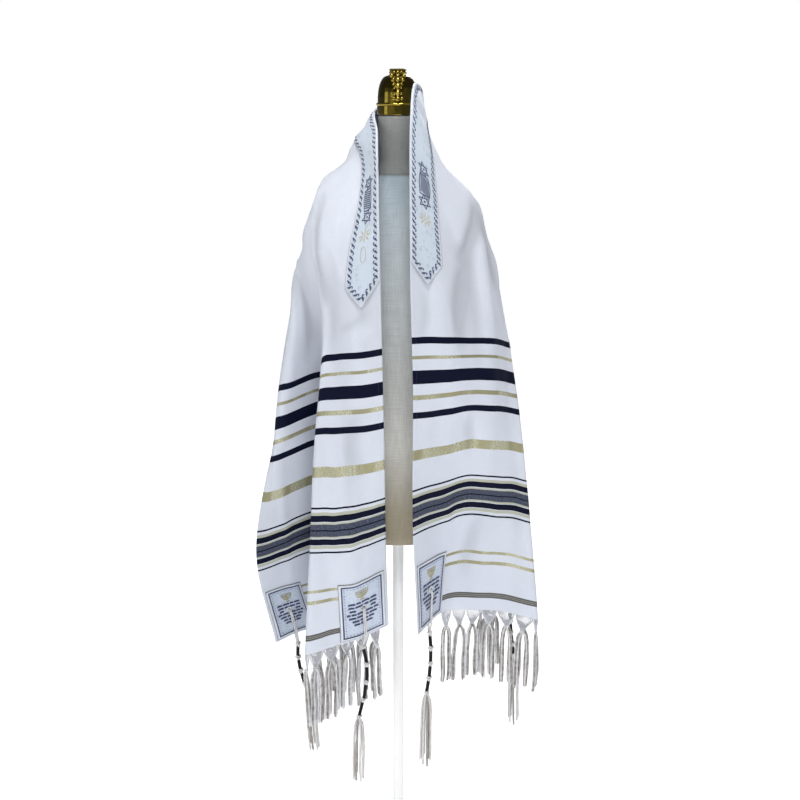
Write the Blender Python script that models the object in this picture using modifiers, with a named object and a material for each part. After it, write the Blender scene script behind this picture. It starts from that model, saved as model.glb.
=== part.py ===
"""Prayer shawl with corner tassels, draped over the shoulders of a limbless dress form on a stand.

Metres, +Z up, the front towards -Y, origin at the centre of the base's underside.
Heights in the tables are given as a depth below the middle of the ring on the form's neck.
"""

import math
from collections import namedtuple

import bmesh
import bpy
import numpy as np
from mathutils import Vector

# ---- driving dimensions -------------------------------------------------------------------
RING_Z = 1.36               # middle of the neck ring above the floor
SHAWL_WIDTH = 0.50          # across the threads of the warp
LEFT_LENGTH = 0.875         # centre back to the left hem, along the neck edge
RIGHT_LENGTH = 0.915        # centre back to the right hem, along the neck edge
CLOTH = 0.0015              # wall of the shawl
TRIM = 0.0010               # wall of the neckband and the patches
GAP = 0.0006                # between the shawl and what is sewn on it
STRIPED = 0.48              # from a hem up, lengths along every crease are true
FOLD_LOOP = 0.015           # width of the open loop at a doubled fold
FOLD_ROUND = 0.010          # half the length over which a crease is rounded

BAND_WIDTH = 0.058
BAND_LEFT, BAND_RIGHT = -0.312, 0.346      # the square corners at the two ends of the neckband
BAND_POINT = 0.031                         # length of the point beyond the corners
BAND_INSET = 0.0012                        # keeps the band's edge just inside the neck edge of the cloth
NECK_REACH = 0.13                          # the stretch on each side of the back that needs close lines
PATCH_INSET = 0.005                        # from the long edge of the cloth
PATCH_OUT = 0.084                          # the patch's far side from the long edge
PATCH_LOW, PATCH_TOP = 0.003, 0.111        # above the hem
HOLE_ACROSS, HOLE_UP, HOLE = 0.043, 0.059, 0.008

FRINGE_GROUPS = 13
STRIP_GAP, STRIP_HEIGHT = 0.0010, 0.004
KNOT_DROP, LOCK_DROP = 0.026, 0.130        # below the hem

NECK_RADIUS = 0.0290
RING_RADIUS, RING_HEIGHT = 0.0300, 0.015
DOME_RADIUS = 0.0292
DOME_HEIGHT = 0.042
FINIAL_HEIGHT, FINIAL_RADIUS = 0.0063, 0.0125
POLE_RADIUS = 0.009
BASE_RADIUS, BASE_THICKNESS = 0.150, 0.016
TORSO_BOTTOM = 0.657
SEAT_GAP = 0.0003

# ---- the drape: one row for each lengthwise crease ------------------------------------------
# A station is (distance across the cloth from the neck edge, x, y, depth below the ring).
STATIONS = ("left_hem", "left_low", "left_waist", "left_bust", "left_collar", "left_side", "centre",
            "right_side", "right_collar", "right_bust", "right_waist", "right_low", "right_hem")
Crease = namedtuple("Crease", STATIONS)

CREASES = (
    Crease(  # neck edge
        left_hem=(0, -0.0151, -0.066, 0.790), left_low=(0, -0.0177, -0.085, 0.690),
        left_waist=(0, -0.0203, -0.116, 0.450), left_bust=(0, -0.0235, -0.106, 0.280),
        left_collar=(0, -0.0285, -0.040, 0.030), left_side=(0, -0.029, 0.021, -0.004),
        centre=(0, 0, 0.046, -0.016),
        right_side=(0, 0.032, 0.008, -0.0265), right_collar=(0, 0.0245, -0.036, -0.037),
        right_bust=(0, 0.017, -0.100, 0.205), right_waist=(0, 0.0215, -0.112, 0.380),
        right_low=(0, 0.0225, -0.122, 0.600), right_hem=(0, 0.0307, -0.130, 0.772)),
    Crease(  # soft bend beside the neckband, a shallow valley on the right
        left_hem=(0.060, -0.0683, -0.085, 0.806), left_low=(0.060, -0.075, -0.121, 0.615),
        left_waist=(0.060, -0.075, -0.120, 0.455), left_bust=(0.060, -0.080, -0.092, 0.260),
        left_collar=(0.060, -0.055, -0.006, 0.0605), left_side=(0.064, -0.069, 0.0165, 0.046),
        centre=(0.070, 0, 0.064, 0.045),
        right_side=(0.095, 0.044, 0.0035, 0.0565), right_collar=(0.095, 0.060, -0.0345, 0.0705),
        right_bust=(0.092, 0.088, -0.070, 0.205), right_waist=(0.092, 0.098, -0.098, 0.385),
        right_low=(0.095, 0.085, -0.058, 0.600), right_hem=(0.100, 0.073, -0.045, 0.773)),
    Crease(  # left front fold, middle of the right panel
        left_hem=(0.145, -0.143, -0.130, 0.806), left_low=(0.140, -0.133, -0.122, 0.640),
        left_waist=(0.130, -0.1215, -0.120, 0.464), left_bust=(0.112, -0.106, -0.110, 0.300),
        left_collar=(0.125, -0.1205, -0.055, 0.157), left_side=(0.145, -0.1025, 0.0495, 0.0945),
        centre=(0.160, 0, 0.088, 0.135),
        right_side=(0.150, 0.086, 0.010, 0.099), right_collar=(0.145, 0.1025, -0.035, 0.1165),
        right_bust=(0.150, 0.128, -0.052, 0.250), right_waist=(0.160, 0.145, -0.068, 0.400),
        right_low=(0.170, 0.150, -0.050, 0.608), right_hem=(0.175, 0.146, -0.038, 0.776)),
    Crease(  # left hidden tuck, right side fold
        left_hem=(0.285, -0.030, -0.030, 0.815), left_low=(0.275, -0.045, -0.092, 0.640),
        left_waist=(0.250, -0.045, -0.090, 0.460), left_bust=(0.200, -0.0765, -0.085, 0.320),
        left_collar=(0.185, -0.140, -0.025, 0.175), left_side=(0.220, -0.131, 0.035, 0.160),
        centre=(0.250, 0, 0.105, 0.225),
        right_side=(0.210, 0.119, 0.014, 0.130), right_collar=(0.200, 0.136, -0.015, 0.190),
        right_bust=(0.205, 0.160, -0.030, 0.290), right_waist=(0.225, 0.181, -0.040, 0.410),
        right_low=(0.245, 0.208, -0.045, 0.620), right_hem=(0.250, 0.227, -0.045, 0.792)),
    Crease(  # left valley, right hidden tuck
        left_hem=(0.395, -0.122, 0.006, 0.830), left_low=(0.335, -0.120, -0.045, 0.650),
        left_waist=(0.320, -0.115, -0.045, 0.450), left_bust=(0.270, -0.115, -0.050, 0.320),
        left_collar=(0.240, -0.145, 0.000, 0.205), left_side=(0.290, -0.130, 0.055, 0.215),
        centre=(0.340, 0, 0.115, 0.315),
        right_side=(0.300, 0.126, 0.052, 0.210), right_collar=(0.290, 0.148, 0.018, 0.225),
        right_bust=(0.300, 0.140, 0.002, 0.320), right_waist=(0.310, 0.122, 0.018, 0.450),
        right_low=(0.330, 0.118, 0.020, 0.625), right_hem=(0.340, 0.135, 0.020, 0.800)),
    Crease(  # left outer bulge, rear bend on the right
        left_hem=(0.450, -0.164, -0.020, 0.826), left_low=(0.445, -0.184, -0.080, 0.640),
        left_waist=(0.430, -0.182, -0.083, 0.440), left_bust=(0.380, -0.163, -0.045, 0.290),
        left_collar=(0.340, -0.1595, 0.030, 0.240), left_side=(0.370, -0.128, 0.080, 0.300),
        centre=(0.420, 0, 0.121, 0.410),
        right_side=(0.400, 0.118, 0.096, 0.335), right_collar=(0.390, 0.152, 0.064, 0.280),
        right_bust=(0.400, 0.163, 0.022, 0.310), right_waist=(0.405, 0.154, 0.030, 0.460),
        right_low=(0.407, 0.160, 0.042, 0.640), right_hem=(0.407, 0.170, 0.048, 0.808)),
    Crease(  # outer edge
        left_hem=(0.5, -0.198, -0.055, 0.828), left_low=(0.5, -0.2155, -0.102, 0.640),
        left_waist=(0.5, -0.182, -0.052, 0.460), left_bust=(0.5, -0.159, 0.031, 0.366),
        left_collar=(0.5, -0.140, 0.090, 0.370), left_side=(0.5, -0.100, 0.113, 0.470),
        centre=(0.5, 0, 0.126, 0.500),
        right_side=(0.5, 0.100, 0.117, 0.475), right_collar=(0.5, 0.152, 0.102, 0.370),
        right_bust=(0.5, 0.172, 0.060, 0.345), right_waist=(0.5, 0.180, 0.050, 0.460),
        right_low=(0.5, 0.195, 0.062, 0.650), right_hem=(0.5, 0.215, 0.082, 0.825)),
)

# Soft folds raised out of the cloth: centre and half-width in cloth coordinates.
SoftFold = namedtuple("SoftFold", "along across half_along half_across height")
SOFT_FOLDS = (
    SoftFold(-0.70, 0.055, 0.26, 0.016, 0.0040),
    SoftFold(-0.66, 0.100, 0.30, 0.014, -0.0035),
    SoftFold(-0.30, 0.085, 0.20, 0.016, 0.0045),
    SoftFold(0.34, 0.150, 0.22, 0.022, 0.0050),
    SoftFold(0.70, 0.150, 0.28, 0.020, 0.0050),
    SoftFold(0.66, 0.200, 0.30, 0.018, -0.0040),
    SoftFold(-0.13, 0.420, 0.035, 0.16, 0.0090),
    SoftFold(-0.06, 0.440, 0.020, 0.14, -0.0060),
    SoftFold(0.02, 0.430, 0.030, 0.15, 0.0080),
    SoftFold(0.09, 0.430, 0.024, 0.14, -0.0070),
    SoftFold(0.16, 0.430, 0.030, 0.16, 0.0090),
)


def spline(stations, steps=16):
    """A smooth curve through a crease's stations, as rows of (across, x, y, z)."""
    points = np.array([(t, x, y, RING_Z - depth) for t, x, y, depth in stations])
    knots = np.concatenate([[0], np.cumsum(np.linalg.norm(np.diff(points[:, 1:], axis=0), axis=1))])
    slopes = np.diff(points, axis=0) / np.diff(knots)[:, None]
    spans = np.diff(knots)[:, None]
    inner = (slopes[:-1] * spans[1:] + slopes[1:] * spans[:-1]) / (spans[1:] + spans[:-1])
    tangents = np.vstack([slopes[:1], inner, slopes[-1:]])
    rows = [points[:1]]
    for i, span in enumerate(spans[:, 0]):
        u = np.linspace(0, 1, steps + 1)[1:, None]
        rows.append((2 * u**3 - 3 * u**2 + 1) * points[i] + (u**3 - 2 * u**2 + u) * span * tangents[i]
                    + (3 * u**2 - 2 * u**3) * points[i + 1] + (u**3 - u**2) * span * tangents[i + 1])
    return np.vstack(rows)


class CreaseLine:
    """One crease, read at a distance s from the centre back, negative to the left."""

    def __init__(self, stations, steps=16):
        self.rows = spline(stations, steps)
        lengths = np.linalg.norm(np.diff(self.rows[:, 1:], axis=0), axis=1)
        self.arc = np.concatenate([[0], np.cumsum(lengths)])
        self.middle = self.arc[STATIONS.index("centre") * steps]

    def at(self, s):
        s = np.asarray(s, dtype=float)
        nominal = np.where(s < 0, LEFT_LENGTH, RIGHT_LENGTH)
        length = np.where(s < 0, self.middle, self.arc[-1] - self.middle)
        from_hem = nominal - np.abs(s)
        ease = np.clip((from_hem - STRIPED) / (nominal - STRIPED), 0, 1)
        from_hem = from_hem + (length - nominal) * ease * ease * (3 - 2 * ease)
        arc = np.where(s < 0, from_hem, self.arc[-1] - from_hem)
        return np.stack([np.interp(arc, self.arc, self.rows[:, k]) for k in range(4)], axis=-1)


CREASE_LINES = [CreaseLine(crease) for crease in CREASES]


def unit(vectors):
    return vectors / np.maximum(np.linalg.norm(vectors, axis=-1, keepdims=True), 1e-9)


def weft_nodes(s):
    """Corners of the crosswise line at s: (across, x, y, z) for each crease, two at a doubled fold."""
    nodes = np.stack([line.at(s) for line in CREASE_LINES])
    rows = [nodes[0]]
    for before, here, after in zip(nodes, nodes[1:], nodes[2:]):
        into = unit(here[..., 1:] - before[..., 1:])
        out = unit(after[..., 1:] - here[..., 1:])
        turn = (1 - np.sum(into * out, axis=-1, keepdims=True)) / 2
        sideways = unit(into + out) * turn * FOLD_LOOP / 2
        step = np.concatenate([np.maximum(turn * FOLD_LOOP / 2, 1e-4), sideways], axis=-1)
        rows += [here - step, here + step]
    rows.append(nodes[-1])
    return np.stack(rows)


def flat_drape(s, t):
    """Points of the cloth's middle surface, for arrays s and t of the same shape, without soft folds."""
    s, t = np.broadcast_arrays(np.asarray(s, dtype=float), np.asarray(t, dtype=float))
    shape = s.shape
    s, t = s.ravel(), t.ravel()
    nodes = weft_nodes(s)
    reach = np.minimum(FOLD_ROUND, np.minimum(t, SHAWL_WIDTH - t))
    total = np.zeros((s.size, 3))
    weights = 0
    for offset, weight in ((-1, 0.5), (-0.67, 1), (-0.33, 1.5), (0, 2), (0.33, 1.5), (0.67, 1), (1, 0.5)):
        across = t + offset * reach
        index = np.clip(np.sum(nodes[:, :, 0] <= across, axis=0), 1, len(nodes) - 1)
        low = nodes[index - 1, np.arange(s.size)]
        high = nodes[index, np.arange(s.size)]
        share = ((across - low[:, 0]) / (high[:, 0] - low[:, 0]))[:, None]
        total += weight * (low[:, 1:] + share * (high[:, 1:] - low[:, 1:]))
        weights += weight
    return (total / weights).reshape(shape + (3,))


def outward(s, t, reach=0.003):
    """Unit normals on the side that faces away from the form."""
    low = np.clip(t - reach, 0, SHAWL_WIDTH)
    high = np.clip(t + reach, 0, SHAWL_WIDTH)
    along = flat_drape(s + reach, t) - flat_drape(s - reach, t)
    across = flat_drape(s, high) - flat_drape(s, low)
    return unit(np.cross(along, across))


def drape(s, t):
    """Points and outward normals of the cloth's middle surface."""
    s, t = np.broadcast_arrays(np.asarray(s, dtype=float), np.asarray(t, dtype=float))
    normals = outward(s, t)
    height = np.zeros(s.shape)
    for fold in SOFT_FOLDS:
        u = (s - fold.along) / fold.half_along
        v = (t - fold.across) / fold.half_across
        height += fold.height * np.exp(-u * u - v * v)
    return flat_drape(s, t) + normals * height[..., None], normals


def hem_s(side, up):
    """The distance from the centre back of a line that lies 'up' above the hem of a side."""
    return side * ((LEFT_LENGTH if side < 0 else RIGHT_LENGTH) - up)


# ---- meshes ---------------------------------------------------------------------------------
def clear_scene():
    for obj in list(bpy.data.objects):
        bpy.data.objects.remove(obj, do_unlink=True)


def make_material(name, colour, roughness, metallic=0.0):
    material = bpy.data.materials.new(name)
    material.use_nodes = True
    shader = material.node_tree.nodes["Principled BSDF"]
    shader.inputs["Base Color"].default_value = (*colour, 1)
    shader.inputs["Roughness"].default_value = roughness
    shader.inputs["Metallic"].default_value = metallic
    return material


def face_outwards(bm):
    """Turn every face of a closed mesh out."""
    bmesh.ops.recalc_face_normals(bm, faces=bm.faces)
    if bm.calc_volume(signed=True) < 0:
        bmesh.ops.reverse_faces(bm, faces=bm.faces)


def add_object(name, bm, material, collection, smooth=True):
    bm.normal_update()
    mesh = bpy.data.meshes.new(name)
    bm.to_mesh(mesh)
    bm.free()
    if smooth:
        mesh.shade_smooth()
    mesh.materials.append(material)
    obj = bpy.data.objects.new(name, mesh)
    collection.objects.link(obj)
    return obj


def thicken(obj, thickness):
    solidify = obj.modifiers.new("wall", "SOLIDIFY")
    solidify.thickness = thickness
    solidify.offset = 0
    solidify.use_even_offset = False


def sheet_mesh(rows, columns, lift=0.0, skip=()):
    """A quad sheet over the cloth: rows of s, columns(s) giving the t values, lifted off its face."""
    s = np.array([[row] * len(columns(row)) for row in rows])
    t = np.array([columns(row) for row in rows])
    points, normals = drape(s, t)
    points = points + normals * lift
    bm = bmesh.new()
    grid = [[bm.verts.new(point) for point in line] for line in points]
    for i, (low, high) in enumerate(zip(grid, grid[1:])):
        for j in range(len(low) - 1):
            middle = ((s[i, j] + s[i + 1, j]) / 2, (t[i, j] + t[i, j + 1]) / 2)
            if not any(is_hole(middle, corner) for corner in skip):
                bm.faces.new((low[j], low[j + 1], high[j + 1], high[j]))
    bmesh.ops.delete(bm, geom=[v for v in bm.verts if not v.link_faces], context="VERTS")
    return bm


def is_hole(middle, corner):
    side, across = corner
    return (abs(middle[0] - hem_s(side, HOLE_UP)) < HOLE / 2 and abs(middle[1] - across) < HOLE / 2)


CORNERS = tuple((side, across) for side in (-1, 1) for across in (HOLE_ACROSS, SHAWL_WIDTH - HOLE_ACROSS))


def hem_rows():
    """Heights above a hem of the lines that the cloth and its patches share."""
    return (0, PATCH_LOW, 0.028, HOLE_UP - HOLE / 2, HOLE_UP + HOLE / 2, 0.082, PATCH_TOP)


def cloth_rows():
    """Crosswise lines of the cloth from the left hem to the right one, closer round the neck."""
    left = [hem_s(-1, up) for up in hem_rows()]
    right = [hem_s(1, up) for up in hem_rows()][::-1]
    stops = ((left[-1], 0), (BAND_LEFT - BAND_POINT, 11), (-NECK_REACH, 7), (NECK_REACH, 14),
             (BAND_RIGHT + BAND_POINT, 7), (right[0], 11))
    rows = []
    for (start, _), (stop, count) in zip(stops, stops[1:]):
        rows += list(np.linspace(start, stop, count + 1))[1:]
    return left + rows[:-1] + right


EDGE_COLUMNS = (0, PATCH_INSET, 0.0145, 0.029, HOLE_ACROSS - HOLE / 2, HOLE_ACROSS + HOLE / 2, BAND_WIDTH,
                0.070, PATCH_OUT)
OUTER_COLUMNS = tuple(SHAWL_WIDTH - c for c in (PATCH_OUT, 0.070, HOLE_ACROSS + HOLE / 2,
                                                HOLE_ACROSS - HOLE / 2, 0.029, PATCH_INSET, 0))
# Lines beside the third to fifth crease, as shares of the length over which a crease is rounded.
BESIDE_CREASES = ((-0.5, 0.5, 1.5), (-1.5, -0.5, 0.5, 1.5), (-1, 0, 1))


def cloth_columns(s):
    """Lengthwise lines at s: fixed ones at both edges, and lines that follow the creases between."""
    folds = [float(line.at(s)[0]) for line in CREASE_LINES[2:5]]
    marks = []
    for fold, shares in zip(folds, BESIDE_CREASES):
        marks += [fold + share * FOLD_ROUND for share in shares]
    middles = [(folds[0] + folds[1]) / 2, (folds[1] + folds[2]) / 2]
    marks = sorted(marks + middles)
    return list(EDGE_COLUMNS) + spaced(marks, PATCH_OUT, OUTER_COLUMNS[0]) + list(OUTER_COLUMNS)


def spaced(marks, start, end, least=0.003):
    """The marks kept in order between start and end, at least a small step apart."""
    marks = list(marks)
    for i in range(len(marks)):
        marks[i] = max(marks[i], (marks[i - 1] if i else start) + least)
    for i in reversed(range(len(marks))):
        marks[i] = min(marks[i], (marks[i + 1] if i + 1 < len(marks) else end) - least)
    return marks


def build_shawl(material, collection):
    bm = sheet_mesh(cloth_rows(), cloth_columns, skip=CORNERS)
    shawl = add_object("shawl_cloth", bm, material, collection)
    thicken(shawl, CLOTH)


def build_patches(material, collection):
    lift = CLOTH / 2 + GAP + TRIM / 2
    inner = [c for c in EDGE_COLUMNS if c >= PATCH_INSET]
    outer = [c for c in OUTER_COLUMNS if c <= SHAWL_WIDTH - PATCH_INSET]
    for side, side_name in ((-1, "left"), (1, "right")):
        rows = sorted(hem_s(side, up) for up in hem_rows()[1:])
        for place, columns in (("front", inner), ("outer", outer)):
            bm = sheet_mesh(rows, lambda s, columns=columns: columns, lift, CORNERS)
            patch = add_object(f"patch_{place}_{side_name}", bm, material, collection)
            thicken(patch, TRIM)


def band_half_width(s):
    """Half the neckband's width at s, shrinking to its point beyond the corners."""
    beyond = max(BAND_LEFT - s, s - BAND_RIGHT, 0)
    return BAND_WIDTH / 2 * max(1 - beyond / BAND_POINT, 0.03)


def build_neckband(material, collection):
    middle = BAND_WIDTH / 2
    shares = [c / middle - 1 for c in EDGE_COLUMNS if c <= BAND_WIDTH]
    rows = [s for s in cloth_rows() if BAND_LEFT - 0.002 < s < BAND_RIGHT + 0.002]
    tips = [BAND_POINT * step for step in (0.25, 0.5, 0.75, 1)]
    rows = ([BAND_LEFT - tip for tip in reversed(tips)] + [BAND_LEFT]
            + [s for s in rows if BAND_LEFT + 0.004 < s < BAND_RIGHT - 0.004]
            + [BAND_RIGHT] + [BAND_RIGHT + tip for tip in tips])

    def columns(s):
        half = band_half_width(s)
        return [max(middle + share * half, BAND_INSET) for share in shares]

    bm = sheet_mesh(rows, columns, CLOTH / 2 + GAP + TRIM / 2)
    band = add_object("neckband", bm, material, collection)
    thicken(band, TRIM)


def add_ring(bm, centre, right, front, half_width, half_depth, cells=1):
    """Corners of a flat cross-section: the front row left to right, then the back row left to right."""
    rows = []
    for sign in (1, -1):
        middle = centre + front * sign * half_depth
        shares = [2 * k / cells - 1 for k in range(cells + 1)]
        rows.append([bm.verts.new(middle + right * half_width * share) for share in shares])
    return rows


def join_rings(bm, upper, lower):
    (front, back), (low_front, low_back) = upper, lower
    for k in range(len(front) - 1):
        bm.faces.new((front[k], front[k + 1], low_front[k + 1], low_front[k]))
        bm.faces.new((back[k + 1], back[k], low_back[k], low_back[k + 1]))
    bm.faces.new((back[0], front[0], low_front[0], low_back[0]))
    bm.faces.new((front[-1], back[-1], low_back[-1], low_front[-1]))


def add_lock(bm, ring, path, right, front, sizes):
    """A strand of four sides from a ring of 2 by 2 corners down a path of centres, closed at its end."""
    for centre, size in zip(path, sizes):
        lower = add_ring(bm, centre, right, front, size, size)
        join_rings(bm, ring, lower)
        ring = lower
    bm.faces.new((ring[0][0], ring[0][1], ring[1][1], ring[1][0]))


def hem_line(side, marks):
    """Points and normals on the shawl's hem at the given marks, along the straight edges of its mesh."""
    s = hem_s(side, 0.0)
    columns = np.array(cloth_columns(s))
    points, normals = drape(np.full(columns.shape, s), columns)
    along = [np.stack([np.interp(marks, columns, values[:, k]) for k in range(3)], axis=1)
             for values in (points, normals)]
    return along[0], unit(along[1])


def build_fringe(side, name, material, collection):
    """A strip under the hem between the patches, with knotted pairs of locks fused to it."""
    start, end = PATCH_OUT + 0.004, SHAWL_WIDTH - PATCH_OUT - 0.004
    pitch = (end - start) / FRINGE_GROUPS
    marks = []
    for group in range(FRINGE_GROUPS):
        left = start + group * pitch
        marks += [left, left + 0.30 * pitch, left + 0.60 * pitch]
    marks.append(end)
    points, normals = hem_line(side, np.array(marks))
    bm = bmesh.new()
    rails = []
    for point, normal in zip(points, normals):
        front = Vector((normal[0], normal[1], 0)).normalized() * CLOTH / 2
        top = Vector(point) - Vector((0, 0, STRIP_GAP + CLOTH * abs(normal[2])))
        low = top - Vector((0, 0, STRIP_HEIGHT))
        rails.append([bm.verts.new(p) for p in (top + front, top - front, low + front, low - front)])
    bm.faces.new((rails[0][0], rails[0][2], rails[0][3], rails[0][1]))
    bm.faces.new((rails[-1][0], rails[-1][1], rails[-1][3], rails[-1][2]))
    for k, (a, b) in enumerate(zip(rails, rails[1:])):
        bm.faces.new((a[0], b[0], b[2], a[2]))
        bm.faces.new((a[1], a[3], b[3], b[1]))
        bm.faces.new((a[0], a[1], b[1], b[0]))
        if k % 3 == 2:
            bm.faces.new((a[2], b[2], b[3], a[3]))
    for group in range(FRINGE_GROUPS):
        add_pair(bm, rails[3 * group:3 * group + 3], group)
    face_outwards(bm)
    add_object(name, bm, material, collection, smooth=False)


def add_pair(bm, rails, group):
    """A fan of threads that narrows to a knot, from which two locks hang."""
    ring = [[rail[2] for rail in rails], [rail[3] for rail in rails]]
    centre = sum((v.co for v in ring[0] + ring[1]), Vector()) / 6
    right = ring[0][2].co - ring[0][0].co
    right = Vector((right.x, right.y, 0)).normalized()
    front = Vector((ring[0][1].co - ring[1][1].co)).normalized()
    front = (front - right * front.dot(right)).normalized()
    down = Vector((0, 0, -1))
    lean = 0.0015 * math.sin(2.1 * group)
    knots = ((0.55, 0.0022, 0.0010), (0.85, 0.0018, 0.0012), (1.0, 0.0032, 0.0024), (1.18, 0.0022, 0.0014))
    drop = KNOT_DROP - STRIP_HEIGHT
    for share, half_width, half_depth in knots:
        lower = add_ring(bm, centre + down * drop * share + right * lean * share, right, front,
                         half_width, half_depth, cells=2)
        join_rings(bm, ring, lower)
        ring = lower
    base = centre + down * drop * 1.18 + right * lean
    for half, sign in ((0, -1), (1, 1)):
        corner = [ring[0][half:half + 2], ring[1][half:half + 2]]
        wave = math.sin(1.7 * group + 2.4 * half)
        length = LOCK_DROP - KNOT_DROP - 0.012 * (1 + math.sin(2.9 * group + 1.3 * half)) / 2
        path = [base + down * length * share
                + right * (sign * (0.0042 + 0.0012 * share) + 0.0010 * wave * math.sin(math.pi * share))
                + front * 0.0018 * math.sin(3.1 * share + group)
                for share in (0.12, 0.50, 1.0)]
        add_lock(bm, corner, path, right, front, (0.0014, 0.0018, 0.0012))


# ---- corner tassels ---------------------------------------------------------------------------
# The way a tassel's cord hangs under its hole: sideways swing at a depth below the hole.
Tassel = namedtuple("Tassel", "name side across swing")
TASSELS = (
    Tassel("tassel_front_left", -1, HOLE_ACROSS,
           ((-0.003, 0.074), (0.002, 0.104), (0.003, 0.130), (-0.002, 0.165), (-0.011, 0.203),
            (-0.013, 0.328))),
    Tassel("tassel_outer_left", -1, SHAWL_WIDTH - HOLE_ACROSS,
           ((0.003, 0.074), (0.002, 0.096), (0.005, 0.120), (0.011, 0.146), (0.020, 0.174),
            (0.026, 0.281))),
    Tassel("tassel_front_right", 1, HOLE_ACROSS,
           ((0.001, 0.074), (0.003, 0.099), (0.003, 0.124), (0.001, 0.151), (-0.003, 0.181),
            (-0.004, 0.315))),
    Tassel("tassel_outer_right", 1, SHAWL_WIDTH - HOLE_ACROSS,
           ((0.0, 0.074), (0.001, 0.096), (0.003, 0.118), (0.006, 0.140), (0.009, 0.162),
            (0.013, 0.300))),
)
CORD_RADIUS, KNOT_RADIUS, WINDING_RADIUS = 0.0015, 0.0042, 0.0029
STRAND_HALF = 0.0013          # half the width of a tassel's strand
WINDINGS = 4


def round_ring(bm, centre, right, front, radius):
    """Twelve corners on a circle, in the order of the edge of a 3 by 3 field of cells."""
    corners = {}
    for i in range(4):
        for j in range(4):
            if i in (0, 3) or j in (0, 3):
                angle = math.atan2(j - 1.5, i - 1.5)
                spoke = right * math.cos(angle) + front * math.sin(angle)
                corners[i, j] = bm.verts.new(centre + spoke * radius)
    return corners


RIM = [(i, 0) for i in range(3)] + [(3, j) for j in range(3)] + [(i, 3) for i in (3, 2, 1)] \
    + [(0, j) for j in (3, 2, 1)]


def join_round(bm, upper, lower):
    for a, b in zip(RIM, RIM[1:] + RIM[:1]):
        bm.faces.new((upper[a], upper[b], lower[b], lower[a]))


def cap_cells(bm, ring, centre, right, front, radius, open_cells):
    """Close a round ring with 3 by 3 cells, and return the corners of the cells left open."""
    field = dict(ring)
    for i in (1, 2):
        for j in (1, 2):
            field[i, j] = bm.verts.new(centre + (right * (i - 1.5) + front * (j - 1.5)) * radius * 0.55)
    left_open = {}
    for i in range(3):
        for j in range(3):
            cell = [field[i, j], field[i + 1, j], field[i + 1, j + 1], field[i, j + 1]]
            if (i, j) in open_cells:
                left_open[i, j] = cell
            else:
                bm.faces.new(cell)
    return left_open


def tube_cells(bm, corners, path, right, ups, size):
    """Carry a cell of four corners along a path of centres. Returns the last corners."""
    for centre, up in zip(path, ups):
        ring = [bm.verts.new(centre + right * i * size + up * j * size)
                for i, j in ((-1, -1), (1, -1), (1, 1), (-1, 1))]
        for k in range(4):
            bm.faces.new((corners[k], corners[(k + 1) % 4], ring[(k + 1) % 4], ring[k]))
        corners = ring
    return corners


def build_tassel(tassel, material, collection):
    """A doubled cord through the hole, a stem of knots and windings, and eight strands."""
    hole_s = hem_s(tassel.side, HOLE_UP)
    points, normals = drape(np.array([hole_s]), np.array([tassel.across]))
    hole, normal = Vector(points[0]), Vector(normals[0])
    front = Vector((normal[0], normal[1], 0)).normalized()
    right = front.cross(Vector((0, 0, 1))) * -1
    up = Vector((0, 0, 1))
    hem_point = Vector(drape(np.array([hem_s(tassel.side, 0)]), np.array([tassel.across]))[0][0])

    def centre_at(depth):
        swings = [(0, 0)] + list(tassel.swing)
        x = np.interp(depth, [d for _, d in swings], [dx for dx, _ in swings])
        return Vector((hem_point.x + x, hem_point.y, hole.z - depth))

    first, last = tassel.swing[0][1], tassel.swing[-2][1]
    bm = bmesh.new()
    top = centre_at(first)
    ring = round_ring(bm, top, right, front, KNOT_RADIUS)
    cells = cap_cells(bm, ring, top, right, front, KNOT_RADIUS, ((1, 0), (1, 2)))
    pitch = (last - first) / WINDINGS
    depths = []
    for k in range(WINDINGS):
        base = first + k * pitch
        depths += [(base + 0.14 * pitch, KNOT_RADIUS), (base + 0.26 * pitch, WINDING_RADIUS),
                   (base + 0.92 * pitch, WINDING_RADIUS)]
    depths += [(last, KNOT_RADIUS), (last + 0.005, KNOT_RADIUS)]
    for depth, radius in depths:
        lower = round_ring(bm, centre_at(depth), right, front, radius)
        join_round(bm, ring, lower)
        ring = lower
    end = centre_at(last + 0.005)
    strands = cap_cells(bm, ring, end, right, front, KNOT_RADIUS,
                        [(i, j) for i in range(3) for j in range(3) if (i, j) != (1, 1)])
    for (i, j), corners in strands.items():
        spread = (right * (i - 1) + front * (j - 1))
        path, depth = [], last + 0.005
        reach = tassel.swing[-1][1] - depth - 0.006 * ((i + 2 * j) % 3)
        for share in (0.10, 0.45, 1.0):
            path.append(centre_at(depth + reach * share) + spread * (0.0036 + 0.0014 * share))
        final = tube_cells(bm, corners, path, right, [front] * 3, STRAND_HALF)
        bm.faces.new(final)
    add_hanger(bm, cells, tassel, hole, normal, right, front, up)
    face_outwards(bm)
    add_object(tassel.name, bm, material, collection, smooth=False)


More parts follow.
